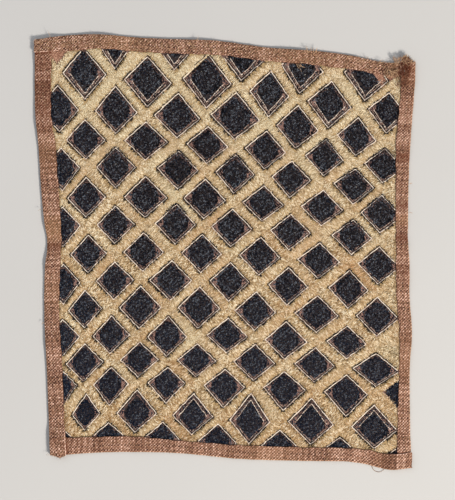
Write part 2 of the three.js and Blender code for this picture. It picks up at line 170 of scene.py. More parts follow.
# Cells a little unlike the rest: column, row, how much wider and higher, moved along columns and rows.
NUDGED_CELLS = (
    (2, 0, 0.78, 1.0, 0, 0), (1, 1, 1.08, 1.05, -0.07, -0.09), (3, 1, 1.1, 1.04, 0.05, 0),
    (5, 1, 1.1, 1.1, -0.05, -0.19), (7, 1, 0.96, 1.05, 0, -0.06), (9, 1, 0.98, 1.16, 0.01, -0.04),
    (11, 1, 1.0, 1.0, 0, -0.08), (4, 2, 1.02, 1.0, 0, 0.06), (6, 2, 1.16, 1.1, -0.11, -0.13),
    (8, 2, 1.02, 1.07, 0, -0.05), (10, 2, 0.94, 1.06, 0, 0), (1, 3, 1.03, 0.95, -0.07, 0.02),
    (7, 3, 1.0, 1.08, 0, -0.03), (9, 3, 0.94, 1.0, -0.05, 0), (2, 4, 0.94, 1.0, 0, 0),
    (4, 4, 1.0, 1.0, 0.06, 0), (6, 4, 0.9, 1.0, 0, 0), (8, 4, 0.9, 1.0, -0.07, 0),
    (1, 5, 1.0, 0.94, -0.08, 0), (3, 5, 1.0, 1.0, 0.04, 0.02), (2, 6, 1.0, 0.92, 0, 0),
    (4, 6, 1.0, 0.99, 0.05, -0.06), (10, 6, 1.0, 1.0, 0.05, 0), (4, 8, 1.1, 1.02, -0.04, 0),
    (6, 8, 0.97, 1.0, 0, 0), (8, 8, 0.94, 0.95, 0.04, 0.03), (1, 9, 0.98, 0.93, -0.12, 0),
    (3, 9, 1.01, 1.05, -0.05, 0), (5, 9, 1.06, 1.09, 0, 0), (7, 9, 1.04, 1.0, -0.04, 0.02),
    (9, 9, 1.02, 0.94, 0, 0), (11, 9, 1.02, 1.0, 0, -0.07), (2, 10, 0.97, 1.0, -0.06, 0),
    (4, 10, 0.98, 1.1, -0.06, 0.08), (6, 10, 1.05, 1.0, 0.03, 0), (8, 10, 1.0, 1.0, 0.05, 0.07),
    (10, 10, 1.0, 0.88, 0, 0), (1, 11, 1.1, 1.15, -0.08, 0.06), (3, 11, 0.95, 1.0, 0, 0.03),
    (5, 11, 0.96, 1.0, 0, 0.02), (7, 11, 1.0, 1.08, 0, 0), (9, 11, 0.9, 0.98, 0, -0.05),
    (11, 11, 1.07, 0.9, 0, 0), (4, 12, 0.95, 0.98, 0, 0), (6, 12, 1.06, 1.02, 0.04, 0.05),
    (8, 12, 0.96, 1.0, 0.07, 0.02), (10, 12, 1.06, 1.0, 0.03, 0), (12, 12, 1.0, 1.0, 0, -0.15),
    (2, 14, 1.0, 1.0, 0.03, -0.08), (4, 14, 1.0, 1.08, -0.05, -0.06), (6, 14, 1.0, 1.05, -0.12, -0.07),
)
# A cell at the right edge that is all pad, without lines.
UNLINED_CELL = (12, 12)
# Cells beside the right edge that were filled with straw pile: all past a diagonal, and these.
STRAW_FROM_Q = 5.5
STRAW_FILLED_CELLS = ((12, 2), (12, 4), (12, 6), (12, 8), (12, 10))
# Cells whose pad was cut round at its head, and how far up such a pad reaches.
ROUND_HEAD = 0.72
ROUND_HEADED_CELLS = ((6, 4), (9, 3), (10, 4), (11, 3), (11, 5), (4, 4), (2, 4), (4, 6), (10, 6))
# Bare ground at the field's two upper corners: at the left inside one cell, at the right past a band.
BARE_CORNERS = {"left": {"cell": (0, 0), "to_e": 0.66}, "right": {"from_q": 5.36, "to_p": 5.4}}


def ease(v):
    """From 0 to 1 with soft ends."""
    v = np.clip(v, 0, 1)
    return v * v * (3 - 2 * v)


def bell(v):
    """1 in the middle, falling softly to 0 at -1 and at 1."""
    return np.where(np.abs(v) < 1, 0.5 + 0.5 * np.cos(np.pi * np.clip(v, -1, 1)), 0)


def row_at(side, column, along):
    """A side's outer edge (column 1) or strip width (column 2), on a smooth curve through its rows."""
    rows = np.array(SIDES[side]["rows"], float)
    places, values = rows[:, 0], rows[:, column]
    last = len(places) - 1
    n = np.arange(last + 1)
    low, high = np.maximum(n - 1, 0), np.minimum(n + 1, last)
    slope = (values[high] - values[low]) / (places[high] - places[low])
    along = np.asarray(along, float)
    i = np.clip(np.searchsorted(places, along, "right") - 1, 0, last - 1)
    span = places[i + 1] - places[i]
    t = np.clip((along - places[i]) / span, 0, 1)
    curve = (
        values[i] * (1 - ease(t)) + values[i + 1] * ease(t)
        + span * slope[i] * t * (1 - t) ** 2 - span * slope[i + 1] * t**2 * (1 - t)
    )
    before, after = np.minimum(along - places[0], 0), np.maximum(along - places[last], 0)
    return curve + slope[0] * before + slope[last] * after


def on_side(side, along, inset):
    """A place from its side, how far along it and how far in from its outer edge."""
    across = row_at(side, 1, along) + SIDES[side]["inward"] * inset
    along = np.broadcast_to(along, across.shape)
    return (across, along) if SIDES[side]["upright"] else (along, across)


def from_side(side, x, y):
    """How far along a side a place is, and how far in from its outer edge."""
    along, across = (y, x) if SIDES[side]["upright"] else (x, y)
    return along, (across - row_at(side, 1, along)) * SIDES[side]["inward"]


def lap_share(side, x, y):
    """From 0 to 1: how fully a place lies on a side's strip, with the ramp beside it."""
    along, inset = from_side(side, x, y)
    return 1 - ease((inset - row_at(side, 2, along) - LAP_MARGIN) / LAP_RAMP)


def ridges(x, y):
    """How far the soft ridges lift a place."""
    height = np.zeros(np.broadcast(x, y).shape)
    for side, at, rise, half, reach in RIDGES:
        along, inset = from_side(side, x, y)
        height = height + rise * bell((along - at) / half) * bell(np.maximum(inset, 0) / reach)
    return height


def ground_height(x, y):
    """The height of the ground cloth's underside."""
    sunk, corner = 1.0, 0.0
    for side in SIDES:
        inset = from_side(side, x, y)[1]
        sunk = sunk * ease((inset - SINK_FROM) / (SINK_TO - SINK_FROM))
    for over, under in LAPS:
        corner = corner + lap_share(over, x, y) * lap_share(under, x, y)
    return (GROUND_BASE + UNDER_LIFT * corner) * (1 - sunk) + ridges(x, y)


def inside_field(x, y):
    """How far a place lies inside the strips' inner edges; negative under a strip."""
    found = np.full(np.broadcast(x, y).shape, 1e3)
    for side in SIDES:
        along, inset = from_side(side, x, y)
        found = np.minimum(found, inset - row_at(side, 2, along))
    return found


def band_bed(e):
    """From 0 to 1: how much of a bed lies under the straw that far out in a cell."""
    start, width = BAND_BED
    return ease((e - start) / width)


def pad_bed(pad):
    """From 0 to 1: how much of a bed lies under a pad."""
    start, width = PAD_BED
    return 1 - ease((pad - start) / width)


def bed_share(x, y):
    """From 0 beside the strips to 1: how much of its height the pile's bed has."""
    return ease((inside_field(x, y) - 1.5) / 3)


def uncrushed(x, y):
    """How much of its height the pile keeps, as the strips hold it down beside them."""
    return 0.8 + 0.2 * ease((inside_field(x, y) + 1) / 6)


def shift_at(shifts, place):
    """A shift between those of two columns or rows, and none past the last."""
    padded = np.concatenate([[0], shifts, [0]])
    return np.interp(place, np.arange(len(padded)) - 1, padded)


def lattice_xy(column, row):
    """Where a place of the lattice lies on the cloth."""
    c = (column - MIDDLE["column"]) / MIDDLE["column"]
    r = (row - MIDDLE["row"]) / MIDDLE["row"]
    x = MIDDLE["x"] + (column - MIDDLE["column"]) * REPEAT[0] / 2 + shift_at(COLUMN_SHIFTS, column)
    y = MIDDLE["y"] - (row - MIDDLE["row"]) * REPEAT[1] / 2 + shift_at(ROW_SHIFTS, row)
    for cp, rp, dx, dy in DRIFTS:
        x = x + dx * c**cp * r**rp
        y = y + dy * c**cp * r**rp
    return x, y


def lattice_at(x, y):
    """The column and row of a place, by walking towards it."""
    column = MIDDLE["column"] + (x - MIDDLE["x"]) * 2 / REPEAT[0]
    row = MIDDLE["row"] - (y - MIDDLE["y"]) * 2 / REPEAT[1]
    for _ in range(14):
        at = lattice_xy(column, row)
        column = column + (x - at[0]) * 1.8 / REPEAT[0]
        row = row - (y - at[1]) * 1.8 / REPEAT[1]
    return column, row


class Cells:
    """Places sorted into the lattice's cells, and how far out each lies in its own cell."""

    def __init__(self, x, y):
        self.column, self.row = lattice_at(x, y)
        self.p, self.q = (self.column + self.row) / 2, (self.column - self.row) / 2
        self.dp, self.dq = self.p - np.round(self.p), self.q - np.round(self.q)
        self.c, self.r = np.round(self.p) + np.round(self.q), np.round(self.p) - np.round(self.q)
        wide, high, across, down = cell_shape(self.c, self.r)
        self.u, self.v = (self.column - self.c - across) / wide, (self.row - self.r - down) / high
        self.e = np.abs(self.u) + np.abs(self.v)
        left, right = BARE_CORNERS["left"], BARE_CORNERS["right"]
        at_left = among([left["cell"]], self.c, self.r)
        at_right = (self.q > right["from_q"]) & (self.p < right["to_p"])
        self.bare = at_right | at_left & (self.e < left["to_e"])
        filled = among(STRAW_FILLED_CELLS, self.c, self.r) | (np.round(self.q) > STRAW_FROM_Q)
        self.filled = (filled | (self.r < 0) | at_left) & ~self.bare
        self.unlined = among([UNLINED_CELL], self.c, self.r)

    def pad(self):
        """Under 1 inside the pad of the cell."""
        reach, wide, high, du, dv = pad_shape(self.c, self.r)
        u, v = np.abs(self.u - du), np.abs(self.v - dv)
        found = (((u + v) / reach) ** 6 + (u / wide) ** 6 + (v / high) ** 6) ** (1 / 6)
        head = ((u / wide) ** 2.4 + (v / ROUND_HEAD) ** 2.4) ** (1 / 2.4)
        rounded = among(ROUND_HEADED_CELLS, self.c, self.r) & (self.v < dv)
        found = np.where(rounded, head, found)
        return np.where(self.filled | self.bare, 9.0, found)

    def lower_side(self):
        """1 on the two lower sides of a cell, 0 on its upper sides."""
        return ease(self.v / 0.1 + 0.5)

    def segment(self, k):
        """A number from -1 to 1 for each stretch of band between two crossings, the k-th of it."""
        on_p = np.abs(self.dp) > np.abs(self.dq)
        line = np.where(on_p, np.floor(self.p), np.floor(self.q))
        place = np.where(on_p, np.round(self.q), np.round(self.p))
        table = np.random.default_rng(SEED + 7).uniform(-1, 1, (2, 40, 40, 4))
        return table[on_p.astype(int), line.astype(int) % 40, place.astype(int) % 40, k]


def among(cells, c, r):
    """Whether each column and row is one of these cells."""
    return sum((c == column) & (r == row) for column, row in cells) > 0


def cell_random(c, r, k):
    """A cell's own number from -1 to 1, the k-th of it."""
    table = np.random.default_rng(SEED).uniform(-1, 1, (24, 24, 8))
    return table[(c - FIRST_CELL).astype(int) % 24, (r - FIRST_CELL).astype(int) % 24, k]


def cell_shape(c, r):
    """A cell's own width and height, about 1, and how far its middle is moved along the lattice."""
    wide, high = 1 + 0.055 * cell_random(c, r, 5), 1 + 0.055 * cell_random(c, r, 6)
    across = 0.015 + 0.018 * cell_random(c, r, 7)
    down = 0.01 - 0.008 * (r - MIDDLE["row"]) + 0.018 * cell_random(c, r, 4)
    # The second row is high, the third only at its left, and the last is low.
    high = high * np.where(r == 1, 1.06, 1.0)
    high, down = high * np.where(r == 14, 0.94, 1.0), down + np.where(r == 14, 0.06, 0.0)
    high = high * np.where((r == 2) & (c <= 4), 1.06, 1.0)
    # The cells get a little narrower towards the foot.
    wide = wide * (1 - 0.033 * ease((r - 5) / 4) * (c >= 3))
    for column, row, wider, higher, more_across, more_down in NUDGED_CELLS:
        found = (c == column) & (r == row)
        wide, high = wide * np.where(found, wider, 1), high * np.where(found, higher, 1)
        across, down = across + found * more_across, down + found * more_down
    for column, row, *own in ODD_CELLS:
        found = (c == column) & (r == row)
        wide, high, across, down = (
            np.where(found, mine, value) for mine, value in zip(own, (wide, high, across, down))
        )
    return wide, high, across, down


def pad_shape(c, r):
    """A pad's reach, half width and half height in its cell, and how far its middle is moved."""
    reach = PAD["reach"] * (1 + 0.05 * cell_random(c, r, 0))
    wide = PAD["wide"] * (1 + 0.09 * cell_random(c, r, 1))
    high = PAD["high"] * (1 + 0.06 * cell_random(c, r, 2))
    down = 0.02 * cell_random(c, r, 4) - PAD_LIFT
    # In the first and last rows a second line inside the first leaves less room for the pad.
    for row, from_column, smaller, shift in ((0, 0, 0.84, -0.09), (1, 0, 0.89, -0.09), (13, 3, 0.89, 0.06)):
        found = (r == row) & (c >= from_column)
        reach, wide, high = (value * np.where(found, smaller, 1) for value in (reach, wide, high))
        down = down + found * shift
    full = among([UNLINED_CELL], c, r)
    reach, wide, high = (np.where(full, BAND_EDGE, value) for value in (reach, wide, high))
    return reach, wide, high, 0.03 * cell_random(c, r, 3), down


def wander(x, y, size, seed):
    """A soft random value from about -1 to 1 that changes over size millimetres."""
    rng = np.random.default_rng(seed)
    total = 0.0
    for _ in range(7):
        angle, phase = rng.uniform(0, 2 * np.pi, 2)
        pitch = size * rng.uniform(0.7, 1.6)
        total = total + np.sin((x * np.cos(angle) + y * np.sin(angle)) * 2 * np.pi / pitch + phase)
    return total / 3.2


def linear(code, alpha=1.0):
    """An sRGB hex colour as Blender's linear numbers."""
    parts = [int(code[i : i + 2], 16) / 255 for i in (1, 3, 5)]
    return [p / 12.92 if p <= 0.04045 else ((p + 0.055) / 1.055) ** 2.4 for p in parts] + [alpha]


def mesh_object(name, points, faces, material, smooth=True, values=None):
    """An object from points in millimetres and arrays of faces, with a number per point for each value."""
    mesh = bpy.data.meshes.new(name)
    points = np.asarray(points, float).reshape(-1, 3)
    mesh.vertices.add(len(points))
    mesh.vertices.foreach_set("co", (points * MM).astype(np.float32).ravel())
    faces = [np.asarray(f, np.int32).reshape(len(f), -1) for f in faces if len(f)]
    corners = np.concatenate([f.ravel() for f in faces])
    sizes = np.concatenate([np.full(len(f), f.shape[1]) for f in faces])
    mesh.loops.add(len(corners))
    mesh.loops.foreach_set("vertex_index", corners)
    mesh.polygons.add(len(sizes))
    starts = np.concatenate([[0], np.cumsum(sizes)[:-1]]).astype(np.int32)
    mesh.polygons.foreach_set("loop_start", starts)
    mesh.update(calc_edges=True)
    if smooth:
        mesh.shade_smooth()
    else:
        mesh.shade_flat()
    for key, numbers in (values or {}).items():
        layer = mesh.attributes.new(key, "FLOAT", "POINT")
        layer.data.foreach_set("value", np.asarray(numbers, np.float32).ravel())
    mesh.materials.append(material)
    made = bpy.data.objects.new(name, mesh)
    bpy.context.scene.collection.objects.link(made)
    return made


def spread_over_cloth(spacing, seed):
    """Places on an uneven grid of that spacing, all over the field."""
    half_wide, half_high, uneven = 278, 318, 0.42
    rng = np.random.default_rng(seed)
    rise = spacing * math.sqrt(3) / 2
    rows = np.arange(-half_high, half_high, rise)
    columns = np.arange(-half_wide, half_wide, spacing)
    x = columns[None, :] + (np.arange(len(rows)) % 2)[:, None] * spacing / 2
    y = np.broadcast_to(rows[:, None], x.shape)
    x, y = ((value + rng.uniform(-uneven, uneven, x.shape) * spacing).ravel() for value in (x, y))
    keep = inside_field(x, y) > 0.4
    return x[keep], y[keep], rng


def tufts(x, y, base, top, length, width, angle, lean, tone):
    """One small brush of cut fibre at each place: four sides that rise to a leaning tip."""
    ax, ay = np.cos(angle), np.sin(angle)
    points = np.empty((len(x), 5, 3))
    for k, (a, b) in enumerate(((1, 0.7), (-0.7, 1), (-1, -0.7), (0.7, -1))):
        points[:, k, 0] = x + (a * length * ax - b * width * ay) / 2
        points[:, k, 1] = y + (a * length * ay + b * width * ax) / 2
        points[:, k, 2] = base
    points[:, 4, 0] = x + lean[0]
    points[:, 4, 1] = y + lean[1]
    points[:, 4, 2] = top
    first = 5 * np.arange(len(x))[:, None]
    faces = np.concatenate([first + f for f in ((0, 1, 4), (1, 2, 4), (2, 3, 4), (3, 0, 4))])
    tip = np.tile([0, 0, 0, 0, 1.0], len(x))
    return points.reshape(-1, 3), faces, {"tone": np.repeat(tone, 5), "tip": tip}


def grains(start, end, width, height, tone):
    """One rounded thread for each pair of places, thick in the middle."""
    along = end - start
    length = np.linalg.norm(along, axis=1, keepdims=True)
    along = along / length
    side = np.stack([-along[:, 1], along[:, 0], np.zeros(len(along))], 1)
    side /= np.linalg.norm(side, axis=1, keepdims=True)
    up = np.cross(along, side)
    points = np.empty((len(start), 10, 3))
    points[:, 0], points[:, 9] = start, end
    for k, t in enumerate((0.25, 0.75)):
        middle = start + along * length * t
        ring = (side * width / 2, up * height, -side * width / 2, -up * height * 0.6)
        for j, offset in enumerate(ring):
            points[:, 1 + 4 * k + j] = middle + offset
    caps = [(0, 1 + j, 1 + (j + 1) % 4) for j in range(4)]
    caps += [(9, 5 + (j + 1) % 4, 5 + j) for j in range(4)]
    walls = [(1 + j, 5 + j, 5 + (j + 1) % 4, 1 + (j + 1) % 4) for j in range(4)]
    first = 10 * np.arange(len(start))[:, None]
    tri = np.concatenate([first + f for f in caps])[:, ::-1]
    quad = np.concatenate([first + f for f in walls])[:, ::-1]
    return points.reshape(-1, 3), [tri, quad], {"tone": np.repeat(tone, 10)}


def fibres(paths, radius, tone):
    """Loose fibres: three-sided, tapering from their roots, each along its own list of points."""
    points, walls, caps, tones = [], [], [], []
    for path, thick, shade in zip(paths, radius, tone):
        path = np.asarray(path, float)
        steps, first = len(path), len(points)
        along = np.gradient(path, axis=0)
        along /= np.linalg.norm(along, axis=1, keepdims=True)
        side = np.cross(along, (0.1, 0.2, 1.0))
        side /= np.linalg.norm(side, axis=1, keepdims=True)
        up = np.cross(along, side)
        for k in range(steps):
            r = thick * (1 - 0.6 * k / (steps - 1))
            for turn in (0, 2 * math.pi / 3, 4 * math.pi / 3):
                points.append(path[k] + r * (math.cos(turn) * side[k] + math.sin(turn) * up[k]))
        for k in range(steps - 1):
            for j in range(3):
                a, b = first + 3 * k + j, first + 3 * k + (j + 1) % 3
                walls.append((a, b, b + 3, a + 3))
        end = first + 3 * (steps - 1)
        caps += [(first, first + 2, first + 1), (end, end + 1, end + 2)]
        tones += [shade] * (3 * steps)
    return np.array(points), [walls, caps], {"tone": tones}


def add(tree, kind, inputs=(), **settings):
    """A node of a kind with its settings; each input is a value or another node's output."""
    made = tree.nodes.new(kind)
    for key, value in settings.items():
        setattr(made, key, value)
    for key, value in dict(inputs).items():
        if isinstance(value, bpy.types.NodeSocket):
            tree.links.new(value, made.inputs[key])
        else:
            made.inputs[key].default_value = value
    return made


def new_material(name, **shader):
    """A material with its shader, whose constants are set on the shader's own sockets."""
    material = bpy.data.materials.new(name)
    material.use_nodes = True
    tree = material.node_tree
    bsdf = tree.nodes["Principled BSDF"]
    for key, value in shader.items():
        bsdf.inputs[key.replace("_", " ")].default_value = value
    return material, tree, bsdf


def dress_shader(tree, bsdf, colour, normal=None):
    """Links a colour, and a surface's relief where it has one, to the shader."""
    tree.links.new(colour, bsdf.inputs["Base Color"])
    if normal:
        tree.links.new(normal, bsdf.inputs["Normal"])


def value_of(tree, name):
    """A number that the mesh holds for each of its points."""
    return add(tree, "ShaderNodeAttribute", attribute_name=name).outputs["Fac"]


def ramp_of(tree, value, stops):
    """Colours along a value, from (place, hex) stops."""
    made = add(tree, "ShaderNodeValToRGB", {"Fac": value})
    steps = made.color_ramp.elements
    while len(steps) < len(stops):
        steps.new(0.5)
    for step, (place, code) in zip(steps, stops):
        step.position, step.color = place, linear(code) if isinstance(code, str) else code
    return made.outputs["Color"]


def mixed(tree, share, a, b, how="MIX"):
    """Two colours mixed by a share; either is an output or a hex code."""
    a, b = (linear(v) if isinstance(v, str) else v for v in (a, b))
    made = add(tree, "ShaderNodeMix", {0: share, 6: a, 7: b}, data_type="RGBA", blend_type=how)
    return made.outputs[2]


def grey_of(tree, value):
    return add(tree, "ShaderNodeCombineColor", {0: value, 1: value, 2: value}).outputs[0]


def sums(tree, how, a, b=0.0, c=0.0, clamp=False):
    """Arithmetic on up to three numbers, each a value or an output."""
    made = add(tree, "ShaderNodeMath", {0: a, 1: b, 2: c}, operation=how, use_clamp=clamp)
    return made.outputs[0]


def place_of(tree):
    return add(tree, "ShaderNodeTexCoord").outputs["Object"]


def noise_of(tree, size_mm, detail=2.0, rough=0.5, place=None):
    """Soft noise whose blotches are about that many millimetres across."""
    inputs = {"Vector": place or place_of(tree), "Scale": 1 / (size_mm * MM), "Detail": detail}
    inputs["Roughness"] = rough
    return add(tree, "ShaderNodeTexNoise", inputs).outputs["Fac"]


def bump_of(tree, height, depth_mm, strength=1.0):
    """A fine relief of that depth in millimetres."""
    inputs = {"Height": height, "Distance": depth_mm * MM, "Strength": strength}
    return add(tree, "ShaderNodeBump", inputs).outputs["Normal"]


def threads_of(tree, pitch_mm):
    """A plain weave, from 0 to 1: the thread on top changes at each crossing, pitch_mm apart."""
    split = add(tree, "ShaderNodeSeparateXYZ", {0: place_of(tree)})
    turn = math.pi / (pitch_mm * MM)
    across, along = (
        sums(tree, "SINE", sums(tree, "MULTIPLY", split.outputs[axis], turn)) for axis in "XY"
    )
    return sums(tree, "MULTIPLY_ADD", sums(tree, "MULTIPLY", across, along), 0.5, 0.5)


def straw_pile_material(colours):
    """Cut pile of undyed raffia: dry, matt fibre ends, straw at the tips, with painted shade darkening each
    tuft towards its root.
    """
    material, tree, bsdf = new_material(
        "Undyed raffia cut pile", Roughness=0.82, Sheen_Weight=0.12, Specular_IOR_Level=0.25
    )
    tips = ramp_of(tree, value_of(tree, "tone"), ((0, colours[0]), (0.5, colours[1]), (1, colours[2])))
    warm = mixed(tree, value_of(tree, "ochre"), tips, "#C08F5E")
    pale = mixed(tree, value_of(tree, "pale"), warm, "#E0D3B0")
    # Painted shade: each tuft is darker from its tip down to its root, where the tufts shade each other.
    depth = sums(tree, "MULTIPLY_ADD", value_of(tree, "tip"), 0.15, 0.85)
    shaded = mixed(tree, 1.0, pale, grey_of(tree, depth), "MULTIPLY")
    # A few tufts hold greenish fibres of younger leaf.
    fleck = sums(tree, "GREATER_THAN", noise_of(tree, 3.0), 0.66)
    flecked = mixed(tree, sums(tree, "MULTIPLY", fleck, 0.35), shaded, "#8C8A62")
    dress_shader(tree, bsdf, flecked, bump_of(tree, noise_of(tree, 0.35), 0.25, 0.6))
    return material


def dark_pile_material(colours):
    """Cut pile of raffia dyed blue-black: dull, with grey glints where fibre ends catch the light."""
    material, tree, bsdf = new_material(
        "Blue-black dyed raffia cut pile", Roughness=0.85, Specular_IOR_Level=0.06
    )
    stops = ((0, colours[0]), (0.5, colours[1]), (0.92, colours[2]), (1, "#9A968C"))
    tips = ramp_of(tree, value_of(tree, "tone"), stops)
    blue = mixed(tree, value_of(tree, "blue"), tips, "#26344E")
    # Painted shade: each tuft is darker from its tip down to its root, where the tufts shade each other.
    depth = sums(tree, "MULTIPLY_ADD", value_of(tree, "tip"), 0.4, 0.6)
    shaded = mixed(tree, 1.0, blue, grey_of(tree, depth), "MULTIPLY")
    dress_shader(tree, bsdf, shaded, bump_of(tree, noise_of(tree, 0.35), 0.25, 0.6))
    return material


def thread_material(name, dark, light, rough):
    """Stitched raffia thread: flat strands laid side by side, so it is streaked along its length."""
    material, tree, bsdf = new_material(name, Roughness=rough, Specular_IOR_Level=0.3)
    shade = sums(tree, "MULTIPLY_ADD", noise_of(tree, 1.2), 0.5, -0.25)
    tone = sums(tree, "ADD", value_of(tree, "tone"), shade, clamp=True)
    strands = bump_of(tree, noise_of(tree, 0.4), 0.2, 0.5)
    dress_shader(tree, bsdf, mixed(tree, tone, dark, light), strands)
    return material


def ground_material(colours):
    """Plain-woven raffia, pink-brown and matt, and darker where pile and stitches stand on it."""
    material, tree, bsdf = new_material(
        "Plain-woven raffia ground", Roughness=0.85, Specular_IOR_Level=0.25
    )
    # The threads are drawn coarser than life, so that they show.
    weave = threads_of(tree, 1.5)
    cloth = mixed(tree, noise_of(tree, 4, 3), colours[0], colours[1])
    cloth = mixed(tree, sums(tree, "MULTIPLY_ADD", weave, -1.1, 0.85, clamp=True), cloth, "#4A3430")
    # out is how far a place lies from its cell's middle, and beside how far to the left or right of it.
    out, beside = value_of(tree, "out"), value_of(tree, "beside")
    band = sums(tree, "GREATER_THAN", out, OUTER_BLACK + 0.015)
    line = sums(tree, "GREATER_THAN", out, 0.57)
    near = sums(tree, "LESS_THAN", beside, PAD["wide"] - 0.02)
    pad = sums(tree, "MULTIPLY", sums(tree, "LESS_THAN", out, PAD["reach"] - 0.06), near)
    shown = sums(tree, "MULTIPLY", line, value_of(tree, "face"))
    # Beside the pad, in the cell's left and right corners, the ground shows paler.
    corner = sums(tree, "GREATER_THAN", beside, PAD["wide"])
    share = sums(tree, "MULTIPLY", shown, sums(tree, "MULTIPLY_ADD", corner, -0.5, 0.7))
    stitched = mixed(tree, share, cloth, "#2E211B")
    under_straw = mixed(tree, sums(tree, "MULTIPLY", band, 0.88), stitched, "#B2966A")
    under_dark = mixed(tree, sums(tree, "MULTIPLY", pad, 0.92), under_straw, "#141417")
    stops = ((0.3, "#3E2014"), (0.5, "#8A5E48"), (0.7, "#E0B496"))
    toned_colour = ramp_of(tree, noise_of(tree, 1.6, 2, 0.7), stops)
    shaded = mixed(tree, value_of(tree, "bare"), under_dark, toned_colour)
    dress_shader(tree, bsdf, shaded, bump_of(tree, weave, 0.4))
    return material


def strip_material(colours):
    """Coarse plain-woven raffia dyed red-brown: dull threads, with painted highlight where they rise at the
    crossings and painted shade between them.
    """
    material, tree, bsdf = new_material(
        "Red-brown dyed raffia strip", Roughness=0.8, Specular_IOR_Level=0.25
    )
    # Warp and weft are counted in threads, so the pattern follows the folds.
    waves, threads = [], []
    for name in ("warp", "weft"):
        count = value_of(tree, name)
        waves.append(sums(tree, "SINE", sums(tree, "MULTIPLY", count, math.pi)))
        whole = sums(tree, "FLOOR", count)
        random = add(tree, "ShaderNodeTexWhiteNoise", {"W": whole}, noise_dimensions="1D")
        threads.append(random.outputs["Value"])
    crossing = sums(tree, "MULTIPLY", *waves)
    over = sums(tree, "GREATER_THAN", crossing, 0.0)
    bulge = sums(tree, "POWER", sums(tree, "ABSOLUTE", crossing), 0.6)
    own = mixed(tree, over, grey_of(tree, threads[0]), grey_of(tree, threads[1]))
    # Painted light: the thread on top at a crossing is paler, and each thread brightest along its rounded
    # middle.
    shade = sums(tree, "MULTIPLY_ADD", over, 0.22, sums(tree, "MULTIPLY_ADD", own, 0.26, -0.09))
    shade = sums(tree, "MULTIPLY_ADD", bulge, 0.3, shade)
    # The threads are not quite square, so the crossings' painted highlights run together along one
    # diagonal.
    slant = sums(tree, "COSINE", sums(tree, "MULTIPLY", value_of(tree, "slant"), math.pi))
    shade = sums(tree, "MULTIPLY_ADD", slant, 0.13, shade)
    shade = sums(tree, "ADD", shade, value_of(tree, "tone"), clamp=True)
    stops = ((0, colours[0]), (0.5, colours[1]), (1, colours[2]))
    dyed = ramp_of(tree, shade, stops)
    # Gold and dark: partly dye and darker spots, partly painted light and shade on ridges, fold, edges and
    # laps.
    gold = mixed(tree, value_of(tree, "gold"), dyed, "#BD9163")
    toned_colour = mixed(tree, value_of(tree, "dark"), gold, "#5E2C14")
    rough = sums(tree, "MULTIPLY_ADD", noise_of(tree, 0.6), 0.35, bulge)
    dress_shader(tree, bsdf, toned_colour, bump_of(tree, rough, 0.35, 0.8))
    return material


def floor_material():
    """A matt painted board, so that only the soft shadows show on it."""
    material, tree, bsdf = new_material("Matt painted board", Roughness=0.9)
    dress_shader(tree, bsdf, mixed(tree, noise_of(tree, 400), "#BAB9B6", "#C0BFBC"))
    return material


def rgb_field(name, description, code):
    return bpy.props.FloatVectorProperty(
        name=name, description=description, subtype="COLOR", size=4, min=0, max=1, default=linear(code)
    )


def length_field(name, description, default_mm):
    return bpy.props.FloatProperty(
        name=name, description=description, default=default_mm * MM, unit="LENGTH", subtype="DISTANCE"
    )


class RaffiaClothSizes(bpy.types.PropertyGroup):
    """Sizes of the cloth's yarns and pile."""

    pile_height: length_field("Pile height", "How high the cut pile stands on the ground cloth", 1.9)
    straw_spacing: length_field("Straw tuft spacing", "Distance between tufts of the bands", 1.82)
    dark_spacing: length_field("Dark tuft spacing", "Distance between tufts of the pads", 1.7)
    ground_grid: length_field("Ground grid", "Size of the ground cloth's faces", 3.3)
    stitch_pitch: length_field("Stitch pitch", "Distance between stitches of the cream line", 2.5)
    # The strips' threads are drawn coarser than life, so that they show.
    strip_thread: length_field("Strip thread", "Width of a thread of the edge strips", 2.15)


class RaffiaClothColours(bpy.types.PropertyGroup):
    """Dyes of the cloth."""

    straw_low: rgb_field("Straw, dark", "Straw pile between the tips", "#8A6A3E")
    straw_mid: rgb_field("Straw", "Most straw tips", "#DBC197")
    straw_high: rgb_field("Straw, light", "The palest straw tips", "#FFF3D6")
    dark_low: rgb_field("Dark, deep", "The pads' darkest fibres", "#020305")
    dark_mid: rgb_field("Dark", "Most fibres of the pads", "#15171C")
    dark_high: rgb_field("Dark, light", "The pads' greyest tips", "#767D86")
    cream_low: rgb_field("Cream, dark", "Shaded cream stitches", "#8F6C5C")
    cream_high: rgb_field("Cream", "Cream stitches", "#F4E6D4")
    black_low: rgb_field("Black", "Dark stitches beside the cream line", "#0C0A09")
    black_high: rgb_field("Black, light", "Faded dark stitches", "#43342C")
    ground_low: rgb_field("Ground, dark", "Ground cloth", "#5C4038")
    ground_high: rgb_field("Ground, light", "Ground cloth where it is rubbed", "#BC9688")
    # Besides the dye's range, the strip's dark and light ends serve as painted shade on sunken threads and
    # painted highlight on raised ones.
    strip_low: rgb_field("Strip, dark", "Sunken threads of the strips", "#3A1F15")
    strip_mid: rgb_field("Strip", "Most threads of the strips", "#966B53")
    strip_high: rgb_field("Strip, light", "Raised threads of the strips", "#ECC8B4")


def sizes_mm(context):
    found = context.scene.raffia_cloth_sizes
    return {key: getattr(found, key) / MM for key in RaffiaClothSizes.__annotations__}


def colours_of(context, *names):
    found = context.scene.raffia_cloth_colours
    return [tuple(getattr(found, name)) for name in names]


